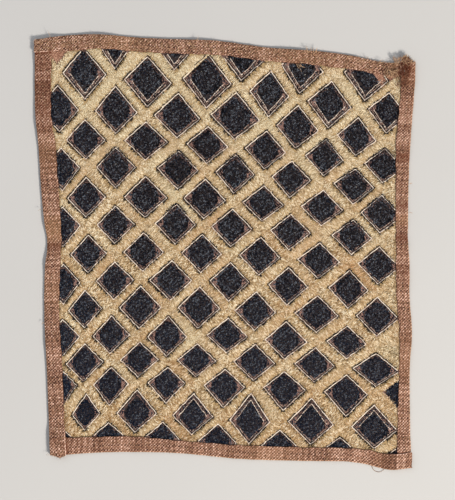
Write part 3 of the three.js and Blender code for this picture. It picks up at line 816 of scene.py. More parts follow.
# Where the straw turns paler or more ochre: x, y, radius, share of pale, share of ochre.
STRAW_PATCHES = (
    (-70, 72, 52, 0.55, 0), (-190, 230, 120, 0.3, 0), (-60, 250, 110, 0.25, 0),
    (-155, 130, 44, 0, 0.5), (-80, 153, 26, 0, 0.4), (-18, 50, 30, 0, 0.4),
    (120, 40, 60, 0, 0.25), (190, -40, 60, 0, 0.25), (-120, 20, 60, 0, 0.2),
    (60, 190, 80, 0.3, 0), (180, 210, 70, 0.25, 0), (-60, -110, 70, 0.35, 0),
)
# Where the pads are darker or paler: x, y, radius, how much paler.
DARK_PATCHES = (
    (-60, 116, 80, -0.22), (-187, -224, 75, -0.26), (196, 116, 65, -0.14), (68, 225, 80, 0.05),
    (-60, -110, 70, 0.05), (70, -110, 70, 0.05),
)
# They are partly uneven dye and partly painted shade in creases and painted light on ridges.
# Changes of tone along a strip: side, place, half length, share of gold, share of dark.
STRIP_DYE_AND_PAINTED_SHADE = (
    ("left", 250, 90, 0, 0.3), ("left", 190, 40, 0, 0.25), ("left", 140, 50, 0.1, 0.1),
    ("left", 32, 34, 0.22, 0), ("left", 8, 9, 0, 0.45), ("left", -60, 40, 0.1, 0),
    ("top", -200, 14, 0, 0.25), ("top", -150, 60, 0.15, 0), ("top", 120, 120, 0.1, 0.1),
    ("top", -248, 9, 0, 0.25), ("top", -160, 10, 0, 0.3), ("top", 245, 20, 0.2, 0.1),
    ("right", 250, 22, 0.1, 0.4), ("right", 67, 11, 0, 0.6), ("right", 20, 10, 0, 0.65),
    ("right", 134, 11, 0, 0.55), ("right", -26, 16, 0, 0.3), ("right", -150, 60, 0.1, 0.1),
    ("right", 45, 14, 0.15, 0), ("bottom", 60, 80, 0.1, 0), ("bottom", -200, 30, 0, 0.15),
    ("bottom", 225, 25, 0.05, 0.15),
)
# Darker spots on the strips: side, place, inset, half length, half width, share of dark.
DARKER_SPOTS = (
    ("right", 262, 12, 20, 11, 0.9), ("right", 244, 15, 18, 8, 0.5), ("top", 248, 10, 16, 8, 0.35),
    ("top", -262, 14, 10, 6, 0.3), ("left", -279, 20, 12, 4, 0.4), ("top", 205, 14, 16, 5, 0.3),
)
# How much paler each strip is made, on the right and bottom as painted light, and how uneven from thread to
# thread.
STRIP_TONES = {"left": (0, 0.2), "top": (0, 0.28), "right": (0.03, 0.14), "bottom": (0.03, 0.14)}


def black_clumps(x, y):
    """From 0 to 1: where the black tufts and stitches outside the cream lines stand thick."""
    upper = 0.55 + 0.15 * ease((y + 60) / 160)
    return ease(upper + 1.1 * wander(x, y, 26, 61) + 0.5 * wander(x, y, 5, 62))


def cell_grid():
    """The column and row of every cell that has lines round it."""
    c, r = np.meshgrid(np.arange(FIRST_CELL, LAST_CELL), np.arange(FIRST_CELL, LAST_CELL))
    lined = ((c + r) % 2 == 0) & ((c - r) / 2 < STRAW_FROM_Q) & (r >= 0)
    lined = lined & ~among((*STRAW_FILLED_CELLS, BARE_CORNERS["left"]["cell"], UNLINED_CELL), c, r)
    return c[lined].astype(float), r[lined].astype(float)


def ground_top(x, y):
    """The height of the bare ground cloth's face."""
    return ground_height(x, y) + GROUND_THICK


def band_angle(cells, x, y):
    """The direction across the band that a place is on, and whether that is along p."""
    on_p = np.abs(cells.dp) > np.abs(cells.dq)
    step = 0.05
    x1, y1 = lattice_xy(cells.column + step, cells.row + np.where(on_p, step, -step))
    return np.arctan2(y1 - y, x1 - x), on_p


def line_places(c, r, share, pitch, sides, slant, reach, narrow=1.0):
    """Stitches along the sides of cells, at a share of the way out: their two ends."""
    corners = ((1, 0), (0, -1), (-1, 0), (0, 1))
    wide, high, across, down = (value[:, None] for value in cell_shape(c, r))
    side_mm = share * CELL_SIDE
    count = int(side_mm / pitch)
    half = reach / side_mm / 2
    starts, ends = [], []
    for k in sides:
        (u0, v0), (u1, v1) = corners[k], corners[(k + 1) % 4]
        s = (np.arange(count) + 0.5) / count
        for at, out, into in ((s - half, -slant, starts), (s + half, slant, ends)):
            u = c[:, None] + across + wide * narrow * (share + out) * (u0 + (u1 - u0) * at)
            v = r[:, None] + down + high * (share + out) * (v0 + (v1 - v0) * at)
            x, y = lattice_xy(u, v)
            x, y = x + 0.5 * wander(x, y, 9, 5), y + 0.5 * wander(x, y, 9, 6)
            into.append(np.stack([x, y], -1).reshape(-1, 2))
    a, b = np.concatenate(starts), np.concatenate(ends)
    keep = (inside_field(a[:, 0], a[:, 1]) > 0.2) & (inside_field(b[:, 0], b[:, 1]) > 0.2)
    return a[keep], b[keep]


def joined_lines(*lines):
    """The stitches of several lines as one list of starts and one of ends, with each line's count."""
    starts, ends = (np.concatenate([line[k] for line in lines]) for k in (0, 1))
    return starts, ends, [len(line[0]) for line in lines]


def lifted(places, above):
    """Places on the cloth with their heights, that far above the bare ground."""
    z = ground_top(places[:, 0], places[:, 1]) + above
    return np.column_stack([places, z])


def fibre_path(start, heading, length, curl, rise, steps, rng):
    """A loose fibre's curve: it leaves one way, bends evenly and rises a little."""
    x, y, z = start
    turn, points = math.radians(heading), [(x, y, z)]
    for k in range(steps):
        turn += math.radians(curl) / steps + rng.normal(0, 0.06)
        x, y = x + length / steps * math.cos(turn), y + length / steps * math.sin(turn)
        points.append((x, y, z + rise * math.sin(0.8 * math.pi * (k + 1) / steps)))
    return points


def lapped(side):
    """The side whose strip this side's covers, and the side whose strip covers it."""
    covers = next(under for over, under in LAPS if over == side)
    return covers, next(over for over, under in LAPS if under == side)


def strip_lift(side, x, y, front_share=1.0):
    """How far a strip is lifted off its plain section by ridges and by the strips it laps with."""
    covers, covered_by = lapped(side)
    lift = ridges(x, y) + UNDER_LIFT * lap_share(covered_by, x, y)
    return lift + OVER_LIFT * lap_share(covers, x, y) * front_share


def dress(piece, slot, *nodes):
    """Parents a piece to the body it moves with and hides the solids it stands for; slot is not used."""
    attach(piece, BODY)
    if nodes:
        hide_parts(*nodes)
    return piece


class RAFFIA_OT_ground(bpy.types.Operator):
    """Weaves the ground cloth, with low beds under the pile"""

    bl_idname = "raffia.ground"
    bl_label = "Ground cloth"

    def execute(self, context):
        step = sizes_mm(context)["ground_grid"]
        grid_wide, grid_high = 536, 610
        u, v = np.meshgrid(
            np.linspace(0, 1, int(grid_wide / step)), np.linspace(0, 1, int(grid_high / step))
        )
        # The grid starts as an oblong a little smaller than the cloth and is drawn out to its edges.
        x, y = (u - 0.5) * 530, (v - 0.5) * 600
        for _ in range(12):
            low, high = (on_side(s, y, PANEL_INSET)[0] for s in ("left", "right"))
            x = low + u * (high - low)
            low, high = (on_side(s, x, PANEL_INSET)[1] for s in ("bottom", "top"))
            y = low + v * (high - low)
        cells = Cells(x, y)
        bed = np.where(cells.bare, 0, np.maximum(band_bed(cells.e), pad_bed(cells.pad())))
        base = ground_height(x, y)
        top = base + GROUND_THICK + BED_RISE * bed * bed_share(x, y)
        # The cell without lines is dark up to the straw, as if all of it lay near its middle.
        shown_e = cells.e * np.where(cells.unlined & (cells.e < BAND_EDGE), 0.6, 1)
        rows, columns = x.shape
        upper = np.stack([x, y, top], -1).reshape(-1, 3)
        lower = np.stack([x, y, base], -1).reshape(-1, 3)
        i = (np.arange(rows - 1)[:, None] * columns + np.arange(columns - 1)).ravel()
        quads = np.stack([i, i + 1, i + columns + 1, i + columns], 1)
        count = rows * columns
        rim = np.concatenate([
            np.arange(columns), np.arange(1, rows) * columns + columns - 1,
            count - 2 - np.arange(columns - 1), np.arange(rows - 2, 0, -1) * columns,
        ])
        after = np.roll(rim, -1)
        walls = np.stack([rim, rim + count, after + count, after], 1)[:, ::-1]
        values = {
            "out": np.tile(np.where(cells.filled, 1, np.where(cells.bare, 0.5, shown_e)).ravel(), 2),
            "beside": np.tile(np.where(cells.bare, 1.0, shown_e / cells.e * np.abs(cells.u)).ravel(), 2),
            "face": np.repeat([1.0, 0.0], count),
            "bare": np.tile(0.85 * cells.bare.ravel(), 2),
        }
        piece = mesh_object(
            "raffia_ground_cloth", np.concatenate([upper, lower]),
            [np.concatenate([quads, (quads + count)[:, ::-1], walls])],
            ground_material(colours_of(context, "ground_low", "ground_high")), values=values,
        )
        dress(piece, "raffia_ground", "embroidered_panel")
        return {"FINISHED"}


class RAFFIA_OT_straw_pile(bpy.types.Operator):
    """Sets the straw-coloured tufts of the lattice's bands"""

    bl_idname = "raffia.straw_pile"
    bl_label = "Straw pile"

    def execute(self, context):
        sizes = sizes_mm(context)
        x, y, rng = spread_over_cloth(sizes["straw_spacing"], SEED + 1)
        cells = Cells(x, y)
        clumps = black_clumps(x, y)
        edge = BAND_EDGE - 0.02 + cells.lower_side() * (0.1 * clumps - 0.01) + 0.03 * clumps
        edge = edge + 0.02 * rng.normal(size=len(x))
        keep = ((cells.e > edge) & ~cells.bare) | cells.filled
        x, y = x[keep], y[keep]
        cells = Cells(x, y)
        n = len(x)
        angle, on_p = band_angle(cells, x, y)
        crossing = np.abs(np.abs(cells.dp) - np.abs(cells.dq)) < 0.06
        angle = angle + np.where(crossing, rng.uniform(-0.8, 0.8, n), rng.normal(0, 0.28, n))
        # At a band's edge the tufts are pushed over, out of the band.
        sign = np.where(on_p, -np.sign(cells.dp), -np.sign(cells.dq))
        push = ease((0.88 - cells.e) / 0.08) * 0.3
        lean_x = np.cos(angle) * sign * push + rng.normal(0, 0.35, n) + 0.2
        lean_y = np.sin(angle) * sign * push + rng.normal(0, 0.35, n) - 0.15
        z = ground_top(x, y)
        within = np.where(cells.filled, 1.0, cells.e)
        bed = BED_RISE * band_bed(within) * bed_share(x, y)
        height = sizes["pile_height"] * (0.86 + 0.14 * ease((within - 0.79) / 0.08))
        height = height * uncrushed(x, y) + rng.normal(0, 0.17, n)
        # The straw is paler towards the head of the cloth, and each stretch of band has its own shade.
        strand = 0.07 * ease((y - 60) / 200) - 0.1 * ease((-60 - y) / 200) + 0.06 * cells.segment(0)
        strand = strand + 0.07 * wander(x, y, 16, 21) + 0.06 * wander(x, y, 5, 23)
        tone = np.clip(0.5 + strand + rng.normal(0, 0.42, n), 0, 1)
        foot = z + bed * (0.3 + 0.85 * ease((within - 0.82) / 0.06)) + 0.02
        points, faces, values = tufts(
            x, y, foot, z + height, rng.uniform(3.0, 5.0, n), rng.uniform(0.85, 1.4, n),
            angle, (lean_x, lean_y), tone,
        )
        pale = 0.05 + 0.22 * ease((y + 40) / 260) + 0.1 * wander(x, y, 60, 31)
        pale = pale + 0.22 * np.maximum(cells.segment(1) - 0.3, 0)
        ochre = 0.1 + 0.1 * wander(x, y, 45, 32) + 0.3 * np.maximum(cells.segment(2) - 0.2, 0)
        for px, py, radius, light, warm in STRAW_PATCHES:
            near = bell(np.hypot(x - px, y - py) / radius)
            pale, ochre = pale + light * near, ochre + warm * near
        ochre = ochre + 0.12 * (rng.random(n) > 0.85)
        values["pale"] = np.repeat(np.clip(pale, 0, 0.8), 5)
        values["ochre"] = np.repeat(np.clip(ochre, 0, 0.8), 5)
        colours = colours_of(context, "straw_low", "straw_mid", "straw_high")
        piece = mesh_object("straw_cut_pile", points, [faces], straw_pile_material(colours), False, values)
        dress(piece, "tan_pile")
        return {"FINISHED"}


class RAFFIA_OT_dark_pile(bpy.types.Operator):
    """Sets the blue-black tufts of the pads"""

    bl_idname = "raffia.dark_pile"
    bl_label = "Dark pile"

    def execute(self, context):
        sizes = sizes_mm(context)
        x, y, rng = spread_over_cloth(sizes["dark_spacing"], SEED + 2)
        cells = Cells(x, y)
        # A pad's rim is uneven, and a few tufts stray from it over the bare ground.
        rough = 1 + 0.03 * wander(x, y, 6, 12) + 0.025 * rng.normal(size=len(x))
        stray = (rng.random(len(x)) < 0.3) & (cells.e < 0.645) & ~cells.bare & ~cells.filled
        keep = (cells.pad() < rough) | stray
        x, y = x[keep], y[keep]
        cells = Cells(x, y)
        n = len(x)
        pad = cells.pad()
        # The tufts of a pad are laid round its middle.
        turn = np.arctan2(-cells.v, cells.u) + np.pi / 2 + rng.normal(0, 0.45, n)
        crown = 0.3 * (1 - np.clip(pad, 0, 1))
        height = (sizes["pile_height"] - 0.15 + crown) * uncrushed(x, y) + rng.normal(0, 0.18, n)
        bed = BED_RISE * pad_bed(pad) * bed_share(x, y)
        z = ground_top(x, y)
        tone = 0.39 + 0.26 * wander(x, y, 6.5, 22) + 0.13 * wander(x, y, 14, 24)
        for px, py, radius, paler in DARK_PATCHES:
            tone = tone + paler * bell(np.hypot(x - px, y - py) / radius)
        tone = np.clip(tone + rng.normal(0, 0.33, n), 0, 0.9)
        tone = np.where(rng.random(n) > 0.998, 1.0, tone)
        points, faces, values = tufts(
            x, y, z + np.maximum(bed - 0.35, 0.02), z + height, rng.uniform(2.1, 3.2, n),
            rng.uniform(1.2, 1.8, n), turn, rng.normal(0, 0.45, (2, n)), tone,
        )
        # The dye has kept more of its blue towards the foot and the left of the cloth.
        blue = 0.1 + 0.2 * ease((60 - y) / 300) + 0.12 * ease((-150 - x) / 90) + 0.1 * wander(x, y, 9, 25)
        values["blue"] = np.repeat(np.clip(blue + 0.1 * rng.normal(size=n), 0, 0.6), 5)
        colours = colours_of(context, "dark_low", "dark_mid", "dark_high")
        piece = mesh_object("dark_cut_pile", points, [faces], dark_pile_material(colours), False, values)
        dress(piece, "dark_pile")
        return {"FINISHED"}


class RAFFIA_OT_line_stitches(bpy.types.Operator):
    """Sews the cream line round each cell and the dark stitches on both sides of it"""

    bl_idname = "raffia.line_stitches"
    bl_label = "Line stitches"

    def execute(self, context):
        pitch = sizes_mm(context)["stitch_pitch"]
        rng = np.random.default_rng(SEED + 3)
        c, r = cell_grid()
        # The cells of the first and last rows have a second line inside the first.
        head, foot = r <= 1, (r == 13) & (c >= 5)
        cream = thread_material(
            "Cream raffia stitches", *colours_of(context, "cream_low", "cream_high"), 0.7
        )
        black = thread_material(
            "Black raffia stitches", *colours_of(context, "black_low", "black_high"), 0.75
        )
        self.sew_cream(c, r, head, foot, pitch, cream, rng)
        self.sew_black(c, r, head, black, rng)
        self.cut_outline(c, r, black, rng)
        return {"FINISHED"}

    def sew_cream(self, c, r, head, foot, pitch, material, rng):
        a, b, counts = joined_lines(
            line_places(c, r, CREAM_LINE, pitch, UPPER_SIDES, 0.006, 4.2),
            line_places(c, r, CREAM_LINE, pitch, LOWER_SIDES, 0.006, 4.2),
            line_places(c[head], r[head], SECOND_LINE, pitch, LOWER_SIDES, 0.006, 3.2, 0.9),
            line_places(c[foot], r[foot], SECOND_LINE, pitch, UPPER_SIDES, 0.006, 3.2, 0.9),
        )
        tone = np.clip(rng.normal(0.82, 0.14, len(a)), 0.3, 1)
        tone = np.where(rng.random(len(a)) < 0.2, rng.uniform(0.2, 0.55, len(a)), tone)
        upper, outer = counts[0], counts[0] + counts[1]
        tone[:upper] += 0.12
        tone[outer:] -= rng.uniform(0.05, 0.35, len(a) - outer)
        # A broken line of rosy stitches runs beside the pad on its lower sides.
        a2, b2 = line_places(c, r, ROSE_LINE, 2.1, LOWER_SIDES, 0.01, 1.9)
        kept = rng.random(len(a2)) < 0.75
        a, b, _ = joined_lines((a, b), (a2[kept], b2[kept]))
        tone = np.concatenate([tone, rng.uniform(0, 0.45, int(kept.sum()))])
        width = np.where(np.arange(len(a)) < upper, 1.6, 1.45)[:, None]
        points, faces, values = grains(lifted(a, 0.3), lifted(b, 0.6), width, 0.6, tone)
        sewn = mesh_object("cream_line_stitches", points, faces, material, True, values)
        dress(sewn, "line_stitch")

    def sew_black(self, c, r, head, material, rng):
        a, b, counts = joined_lines(
            line_places(c, r, INNER_BLACK, 1.7, ALL_SIDES, 0.004, 2.6),
            line_places(c[head], r[head], SECOND_LINE + 0.05, 1.7, LOWER_SIDES, 0.004, 2.6),
        )
        kept = rng.random(len(a)) < np.where(np.arange(len(a)) < counts[0], 0.72, 0.4)
        a, b = a[kept], b[kept]
        tone = np.clip(rng.normal(0.4, 0.3, len(a)), 0, 1)
        # A finer line outside the cream one comes and goes with the tufts that stand along it.
        a2, b2 = line_places(c, r, OUTER_BLACK + 0.008, 1.7, ALL_SIDES, 0.004, 2.5)
        kept = rng.random(len(a2)) < 0.02 + 0.98 * black_clumps(*a2.T)
        above = np.repeat([0.3, 1.3], [len(a), int(kept.sum())])
        a, b, _ = joined_lines((a, b), (a2[kept], b2[kept]))
        tone = np.concatenate([tone, rng.uniform(0, 0.2, int(kept.sum()))])
        points, faces, values = grains(lifted(a, above), lifted(b, above + 0.15), 1.15, 0.55, tone)
        sewn = mesh_object("dark_line_stitches", points, faces, material, True, values)
        dress(sewn, "line_stitch")

    def cut_outline(self, c, r, material, rng):
        """Cut black tufts outside the cream line, long and ragged on a cell's two lower sides."""
        found = []
        for sides, length, jag in ((UPPER_SIDES, 1.4, 0.8), (LOWER_SIDES, 2.8, 1.6)):
            a, b = line_places(c, r, OUTER_BLACK, 0.9, sides, 0.0, 0.5)
            out = np.stack([(b - a)[:, 1], -(b - a)[:, 0]], 1)
            out /= np.linalg.norm(out, axis=1, keepdims=True)
            reach = np.clip(rng.normal(length, jag, (len(a), 1)), 0.7, 4.8)
            kept = rng.random(len(a)) < 0.05 + 0.75 * black_clumps(*((a + b) / 2).T)
            found.append(np.column_stack([(a + b) / 2 + out * reach / 2, out, reach])[kept])
        found = np.concatenate(found)
        found = found[inside_field(found[:, 0], found[:, 1]) > 0.4]
        x, y, out_x, out_y, reach = found.T
        n = len(x)
        z = ground_top(x, y)
        tone = np.clip(rng.normal(0.2, 0.2, n), 0, 1)
        top = z + 1.75 * uncrushed(x, y) + rng.normal(0, 0.12, n)
        lean = rng.normal(0, 0.2, (2, n)) + np.stack([out_x, out_y]) * 0.25 * reach
        points, faces, values = tufts(
            x, y, z + 0.1, top, reach, np.full(n, 1.05), np.arctan2(out_y, out_x), lean, tone
        )
        outline = mesh_object("dark_outline_pile", points, [faces], material, False, values)
        dress(outline, "line_stitch")


# Points of a folded strip's section, by how far in from the fold and how high they lie: under the back leg,
# round the fold, round the front leg's edge as counted from the strip's width, and back inside the fold.
BACK_LEG = ((BACK_WIDTH, 0), (10, 0), (7, 0), (4, 0))
FOLD = ((1.7, 0), (0.5, 0.35), (0.05, 1.1), (0, 1.9), (0.05, 2.75), (0.45, 3.55))
INNER_FACE = ((1.8, FRONT_BASE), (1.4, 2.3), (1.4, 1.25), (1.7, BACK_THICK), (7, BACK_THICK))
INNER_EDGE = ((-0.3, 3.8), (0, 3.35), (-0.05, 2.85))


def strip_section(width, count):
    """A folded strip's section, closed, with that many points across its front."""
    front = [(1.3 + k / (count - 1) * (width - 2.2), STRIP_TOP) for k in range(count)]
    edge = [(width + beyond, up) for beyond, up in INNER_EDGE]
    under = [(width - 0.6, FRONT_BASE), (width * 0.5, FRONT_BASE)]
    return [*BACK_LEG, *FOLD, *front, *edge, *under, *INNER_FACE, (BACK_WIDTH, BACK_THICK)]


class RAFFIA_OT_edge_strips(bpy.types.Operator):
    """Folds the red-brown woven strips over the cloth's four edges"""

    bl_idname = "raffia.edge_strips"
    bl_label = "Edge strips"

    def execute(self, context):
        thread = sizes_mm(context)["strip_thread"]
        colours = colours_of(context, "strip_low", "strip_mid", "strip_high")
        material = strip_material(colours)
        for number, side in enumerate(SIDES):
            self.fold_strip(side, thread, material, np.random.default_rng(SEED + 10 + number))
        return {"FINISHED"}

    def fold_strip(self, side, thread, material, rng):
        facts = SIDES[side]
        length = abs(facts["raw"] - facts["tucked"])
        stations = np.linspace(facts["raw"], facts["tucked"], int(2 * length / thread))
        width = row_at(side, 2, stations) + 0.5 * wander(stations, 0, 19, 51)
        width = width + 0.3 * wander(stations, 0, 5, 56)
        front_count = round(2 * float(width.mean()) / thread)
        section = np.array([strip_section(w, front_count) for w in width])
        inset, up = section[..., 0], section[..., 1]
        n, m = inset.shape
        fold_start, front_start = len(BACK_LEG), len(BACK_LEG) + len(FOLD)
        front_end = front_start + front_count + len(INNER_EDGE)
        j = np.broadcast_to(np.arange(m), inset.shape)
        fold, front = (j >= fold_start) & (j < front_start), (j >= front_start) & (j < front_end - 1)
        # Warp and weft are counted in threads; neither runs quite evenly.
        warp = inset / thread + 0.12 * wander(stations[:, None], 7 * inset, 31, 58)
        weft = stations[:, None] / thread + 0.3 * wander(stations, 0, 26, 57)[:, None]
        weft = weft + 0.1 * wander(stations[:, None], inset, 6, 59)
        over = np.sin(np.pi * warp) * np.sin(np.pi * weft)

        straight = np.broadcast_to(stations[:, None], inset.shape)
        along = straight
        if side in RAGGED_ENDS:
            reach, middle, half = RAGGED_ENDS[side]
            outwards = math.copysign(1, facts["raw"] - facts["tucked"])
            near = np.clip(1 - np.abs(along - facts["raw"]) / FRAYED_LENGTH, 0, 1) ** 2
            tip = bell((inset - middle) / half) * reach
            along = along + outwards * near * tip
        ragged = 0.3 * np.clip(1 - np.abs(stations - facts["raw"]) / 3, 0, 1)[:, None]
        along = along + ragged * rng.normal(0, 1, inset.shape)

        x, y = on_side(side, straight, inset)
        front_share = np.clip((up - BACK_THICK) / (FRONT_BASE - BACK_THICK), 0, 1)
        z = up + strip_lift(side, x, y, front_share)
        z = z + front * (0.22 * over + 0.12 * wander(x, y, 13, 52) + rng.normal(0, 0.03, (n, m)))
        slack = fold * (0.12 * over + 0.1) + (j < front_end) * 0.15 * wander(along, 0, 24, 53)
        x, y = on_side(side, along, inset - slack * ease((10 - inset) / 8))
        points = np.stack([x, y, z], -1)
        points[..., 1 if facts["upright"] else 0] = along

        a, b = np.arange(n - 1)[:, None] * m + np.arange(m), np.arange(1, n)[:, None] * m + np.arange(m)
        walls = np.stack([a, np.roll(a, -1, 1), np.roll(b, -1, 1), b], -1).reshape(-1, 4)
        caps = np.array([np.arange(m)[::-1], (n - 1) * m + np.arange(m)])
        faces = [walls, caps]
        mirrored = facts["upright"] == (facts["inward"] > 0)
        backwards = facts["tucked"] < facts["raw"]
        if mirrored != backwards:
            faces = [f[:, ::-1] for f in faces]

        values = self.shades(side, stations, along, inset, up, x, y, j - front_end, rng)
        values["warp"] = warp
        values["weft"] = weft
        values["slant"] = warp - weft if side in ("left", "bottom") else warp + weft + 1
        piece = mesh_object("folded_strip_" + side, points, faces, material, True, values)
        dress(piece, "dyed_raffia", "edge_strip_" + side)

    def shades(self, side, stations, along, inset, up, x, y, past_front, rng):
        """Tone, gold and dark of a strip; past_front counts its points from the end of its front."""
        covers, covered_by = lapped(side)
        paler, uneven = STRIP_TONES[side]
        tone = 0.1 * wander(stations, 0, 22, 54)[:, None] + rng.normal(0, uneven, inset.shape)
        # Painted light: the right and bottom strips, on the lamp's side, are a little paler.
        tone = tone + paler
        tone = tone + 0.12 * wander(along, inset, 7, 55)
        gold, dark = np.zeros(len(stations)), np.zeros(len(stations))
        # Gold and dark along the strip: partly dye, partly painted light and shade of its ridges and
        # creases.
        for named, at, half_length, golden, dusky in STRIP_DYE_AND_PAINTED_SHADE:
            if named == side:
                gold += golden * bell((stations - at) / half_length)
                dark += dusky * bell((stations - at) / half_length)
        # Painted highlight: a gold line along the crest of the fold, where it catches the light.
        fold_crest_highlight = 0.25 * bell((up - 3.2) / 1.2) * (inset < 2)
        # Painted shade on the front leg's inner edge and the face beneath it.
        dusk = np.broadcast_to(dark[:, None], inset.shape) + 0.75 * ((past_front > -3) & (up < 3.9))
        # Where the next strip lies over this one, a painted shadow line runs beside its edge, and the edge
        # itself is frayed paler.
        line_along, line_inset = from_side(covered_by, x, y)
        gap = line_inset - row_at(covered_by, 2, line_along)
        dusk = dusk + 0.8 * bell((gap - 1.2) / 2.2)
        tone = tone + 0.3 * (lap_share(covers, x, y) > 0.7) * (past_front > -5)
        for named, at, depth, half_length, half_depth, dusky in DARKER_SPOTS:
            if named == side:
                away = np.hypot((along - at) / half_length, (inset - depth) / half_depth)
                dusk = dusk + dusky * bell(away)
        gold, dark = np.clip(gold[:, None] + fold_crest_highlight, 0, 0.8), np.clip(dusk, 0, 0.92)
        return {"tone": tone, "gold": gold, "dark": dark}


# Loose fibres: x, y, heading in degrees, length, bend, rise, how many, how far they spread.
LOOSE_FIBRES = (
    (-247.5, 303, 97, 12, 20, 2, 1, 0), (-40, 299, 70, 9, 40, 2, 2, 2),
    (118, 284, 60, 8, 90, 3, 7, 6), (128, 283, 100, 7, -60, 3, 5, 3), (106, 266, -70, 9, 70, 2, 9, 6),
    (200, 272, 80, 7, 50, 3, 3, 3), (216, 268, 60, 8, -50, 3, 4, 3), (243, 270, 110, 10, 30, 3, 4, 3),
    (263, 97, 10, 4, 30, 1, 2, 1), (262, 56, -20, 4, 30, 1, 2, 1), (-249, -286, -100, 4, 30, 1, 3, 3),
    (-262, 60, 170, 4, 40, 1, 1, 1), (-257, -100, 190, 4, 40, 1, 2, 1),
)
# Short fibres that stand off the strips: side, how many, length.
STRIP_FUZZ = (("top", 2000, 2.6), ("right", 600, 2.2), ("bottom", 450, 2.2), ("left", 600, 2.2))
# Fibres of the ragged raw ends: side, how many, length.
RAW_FIBRES = (("right", 40, 4.5), ("left", 26, 3.6))
# A loop of thread at the lower right: the middle of its arc, its radius, thickness and height.
THREAD_LOOP = {"x": 218.5, "y": -303.5, "radius": 9.5, "thick": 0.45, "z": 0.6}
# Frayed, crumpled spots of the raw end at the upper right: middle, half sizes, count, least and most tone.
FRAYED_PATCHES = (
    (254, 262, 7, 14, 130, -0.4, 0.3), (250, 246, 8, 12, 100, -0.4, 0.3), (246, 270, 8, 6, 60, 0.2, 0.9),
    (258, 272, 6, 8, 40, 0.3, 1.0), (236, 252, 10, 5, 70, 0.3, 1.0),
)


class RAFFIA_OT_loose_fibres(bpy.types.Operator):
    """Lays frayed ends, stray fibres and one loop of thread at the edges"""

    bl_idname = "raffia.loose_fibres"
    bl_label = "Loose fibres"

    def execute(self, context):
        rng = np.random.default_rng(SEED + 4)
        paths, radius, tone = [], [], []

        def lay(start, heading, length, bend, rise, steps, thick, shade):
            paths.append(fibre_path(start, heading, length, bend, rise, steps, rng))
            radius.append(rng.uniform(*thick))
            tone.append(rng.uniform(*shade))

        for x, y, heading, length, bend, rise, count, spread in LOOSE_FIBRES:
            for _ in range(count):
                px, py = x + rng.normal(0, 0.6) * spread, y + rng.normal(0, 0.25) * spread
                start = (px, py, float(ground_top(px, py)) + 1.6)
                turn = heading + rng.normal(0, 12)
                size = length * rng.uniform(0.6, 1.15)
                lay(start, turn, size, bend * rng.uniform(0.3, 1.4), rise, 7, (0.26, 0.42), (0.5, 1.1))
        for side, count, length in STRIP_FUZZ:
            facts = SIDES[side]
            along = facts["raw"] + (facts["tucked"] - facts["raw"]) * rng.random(count)
            inset = rng.uniform(0.8, 1, count) * row_at(side, 2, along) - 16 * rng.random(count)
            x, y = on_side(side, along, np.maximum(inset, 1))
            z = STRIP_TOP + strip_lift(side, x, y)
            for px, py, pz in zip(x, y, z):
                size = length * rng.uniform(0.5, 1.3)
                turn, bend = rng.uniform(0, 360), rng.normal(0, 50)
                lay((px, py, pz + 0.1), turn, size, bend, 0.5, 3, (0.24, 0.42), (0.25, 1))
        for x, y, wide, high, count, low, top in FRAYED_PATCHES:
            for _ in range(count):
                px, py = x + rng.uniform(-1, 1) * wide, y + rng.uniform(-1, 1) * high
                start = (px, py, STRIP_TOP + float(strip_lift("right", px, py)) + rng.uniform(0, 0.5))
                turn, size, bend = rng.normal(90, 55), rng.uniform(2.5, 6), rng.normal(0, 60)
                lay(start, turn, size, bend, 0.9, 4, (0.28, 0.5), (low, top))
        for side, count, length in RAW_FIBRES:
            reach, middle, half = RAGGED_ENDS[side]
            raw = SIDES[side]["raw"]
            outwards = math.copysign(1, raw)
            for _ in range(count):
                inset = rng.uniform(2, 21)
                tip = float(bell((inset - middle) / half)) * reach - rng.uniform(0.5, 3)
                px = float(on_side(side, np.array(raw), inset)[0])
                start = (px, raw + outwards * tip, STRIP_TOP + OVER_LIFT - rng.uniform(0.2, 1.2))
                turn = 90 * outwards + rng.normal(0, 24)
                size = length * rng.uniform(0.4, 1.3)
                lay(start, turn, size, rng.normal(0, 50), 0.8, 6, (0.25, 0.45), (0.2, 0.9))
        loop = THREAD_LOOP
        turns = np.radians(np.linspace(-20, 200, 18))
        arc_x = loop["x"] - loop["radius"] * np.cos(turns)
        arc_y = loop["y"] - loop["radius"] * np.sin(turns)
        paths.append(np.column_stack([arc_x, arc_y, np.full(len(turns), loop["z"])]))
        radius.append(loop["thick"])
        tone.append(0.25)
        points, faces, values = fibres(paths, radius, tone)
        material = thread_material("Loose raffia fibres", linear("#5C2C1A"), linear("#D8B48E"), 0.7)
        dress(mesh_object("loose_raffia_fibres", points, faces, material, True, values), "dyed_raffia")
        # All that is sewn into the ground cloth or hangs at its edge moves with it.
        return {"FINISHED"}


# The floor's half side, in millimetres.
FLOOR_HALF = 2500
# The camera hangs straight above, at this distance from the cloth's face, and sees this width of it, in
# metres.
VIEW_DISTANCE = 2.0
VIEW_WIDTH = 0.710
VIEW_MIDDLE = (0.0035, 0.0028)
CLOTH_FACE = 0.004
SENSOR = 36
# Soft lights, aimed at the cloth: name, place and size in metres, power, tint.
LIGHTS = (
    ("Key", (3.0, -3.0, 3.5), 1.0, 400, "#FFF8F0"),
    ("Fill", (-1.4, 1.2, 2.2), 2.2, 18, "#EAF0FF"),
)


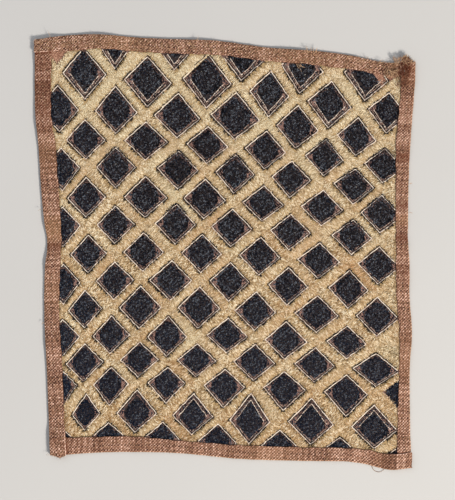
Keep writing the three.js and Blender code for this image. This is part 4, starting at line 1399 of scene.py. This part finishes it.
class RAFFIA_OT_stage(bpy.types.Operator):
    """Sets the pale floor, the soft light from the lower right and the camera straight above"""

    bl_idname = "raffia.stage"
    bl_label = "Stage"

    def execute(self, context):
        scene = context.scene
        corners = [(FLOOR_HALF * a, FLOOR_HALF * b, 0) for a, b in ((-1, -1), (1, -1), (1, 1), (-1, 1))]
        floor = mesh_object("floor", corners, [[(0, 1, 2, 3)]], floor_material())
        scene.world = scene.world or bpy.data.worlds.new("Studio")
        scene.world.use_nodes = True
        back = scene.world.node_tree.nodes["Background"]
        back.inputs["Color"].default_value = linear("#E6E8EC")
        back.inputs["Strength"].default_value = 0.5
        for name, place, size, power, tint in LIGHTS:
            light = bpy.data.lights.new(name, "AREA")
            light.shape, light.size, light.energy = "SQUARE", size, power
            light.color = linear(tint)[:3]
            lamp = bpy.data.objects.new(name, light)
            lamp.location = place
            lamp.rotation_euler = (-Vector(place)).to_track_quat("-Z", "Y").to_euler()
            scene.collection.objects.link(lamp)
        camera = bpy.data.cameras.new("Camera")
        camera.sensor_width = SENSOR
        camera.lens = SENSOR * VIEW_DISTANCE / VIEW_WIDTH
        camera.clip_end = 20
        view = bpy.data.objects.new("Camera", camera)
        view.location = (*VIEW_MIDDLE, VIEW_DISTANCE + CLOTH_FACE)
        scene.collection.objects.link(view)
        scene.camera = view
        scene.view_settings.view_transform = "Standard"
        return {"FINISHED"}


class RAFFIA_PT_cloth(bpy.types.Panel):
    """Lists the cloth's pieces and their sizes and dyes"""

    bl_label = "Raffia cloth"
    bl_idname = "RAFFIA_PT_cloth"
    bl_space_type = "VIEW_3D"
    bl_region_type = "UI"
    bl_category = "Raffia cloth"

    def draw(self, context):
        for operator in OPERATORS:
            self.layout.operator(operator.bl_idname)
        for group in (context.scene.raffia_cloth_sizes, context.scene.raffia_cloth_colours):
            for key in type(group).__annotations__:
                self.layout.prop(group, key)


OPERATORS = (
    RAFFIA_OT_ground,
    RAFFIA_OT_straw_pile,
    RAFFIA_OT_dark_pile,
    RAFFIA_OT_line_stitches,
    RAFFIA_OT_edge_strips,
    RAFFIA_OT_loose_fibres,
    RAFFIA_OT_stage,
)
CLASSES = (RaffiaClothSizes, RaffiaClothColours, *OPERATORS, RAFFIA_PT_cloth)


def register():
    for each in CLASSES:
        bpy.utils.register_class(each)
    bpy.types.Scene.raffia_cloth_sizes = bpy.props.PointerProperty(type=RaffiaClothSizes)
    bpy.types.Scene.raffia_cloth_colours = bpy.props.PointerProperty(type=RaffiaClothColours)


def unregister():
    del bpy.types.Scene.raffia_cloth_colours
    del bpy.types.Scene.raffia_cloth_sizes
    for each in reversed(CLASSES):
        bpy.utils.unregister_class(each)


def main():
    register()
    for operator in OPERATORS:
        group, name = operator.bl_idname.split(".")
        getattr(getattr(bpy.ops, group), name)()


if __name__ == "__main__":
    main()
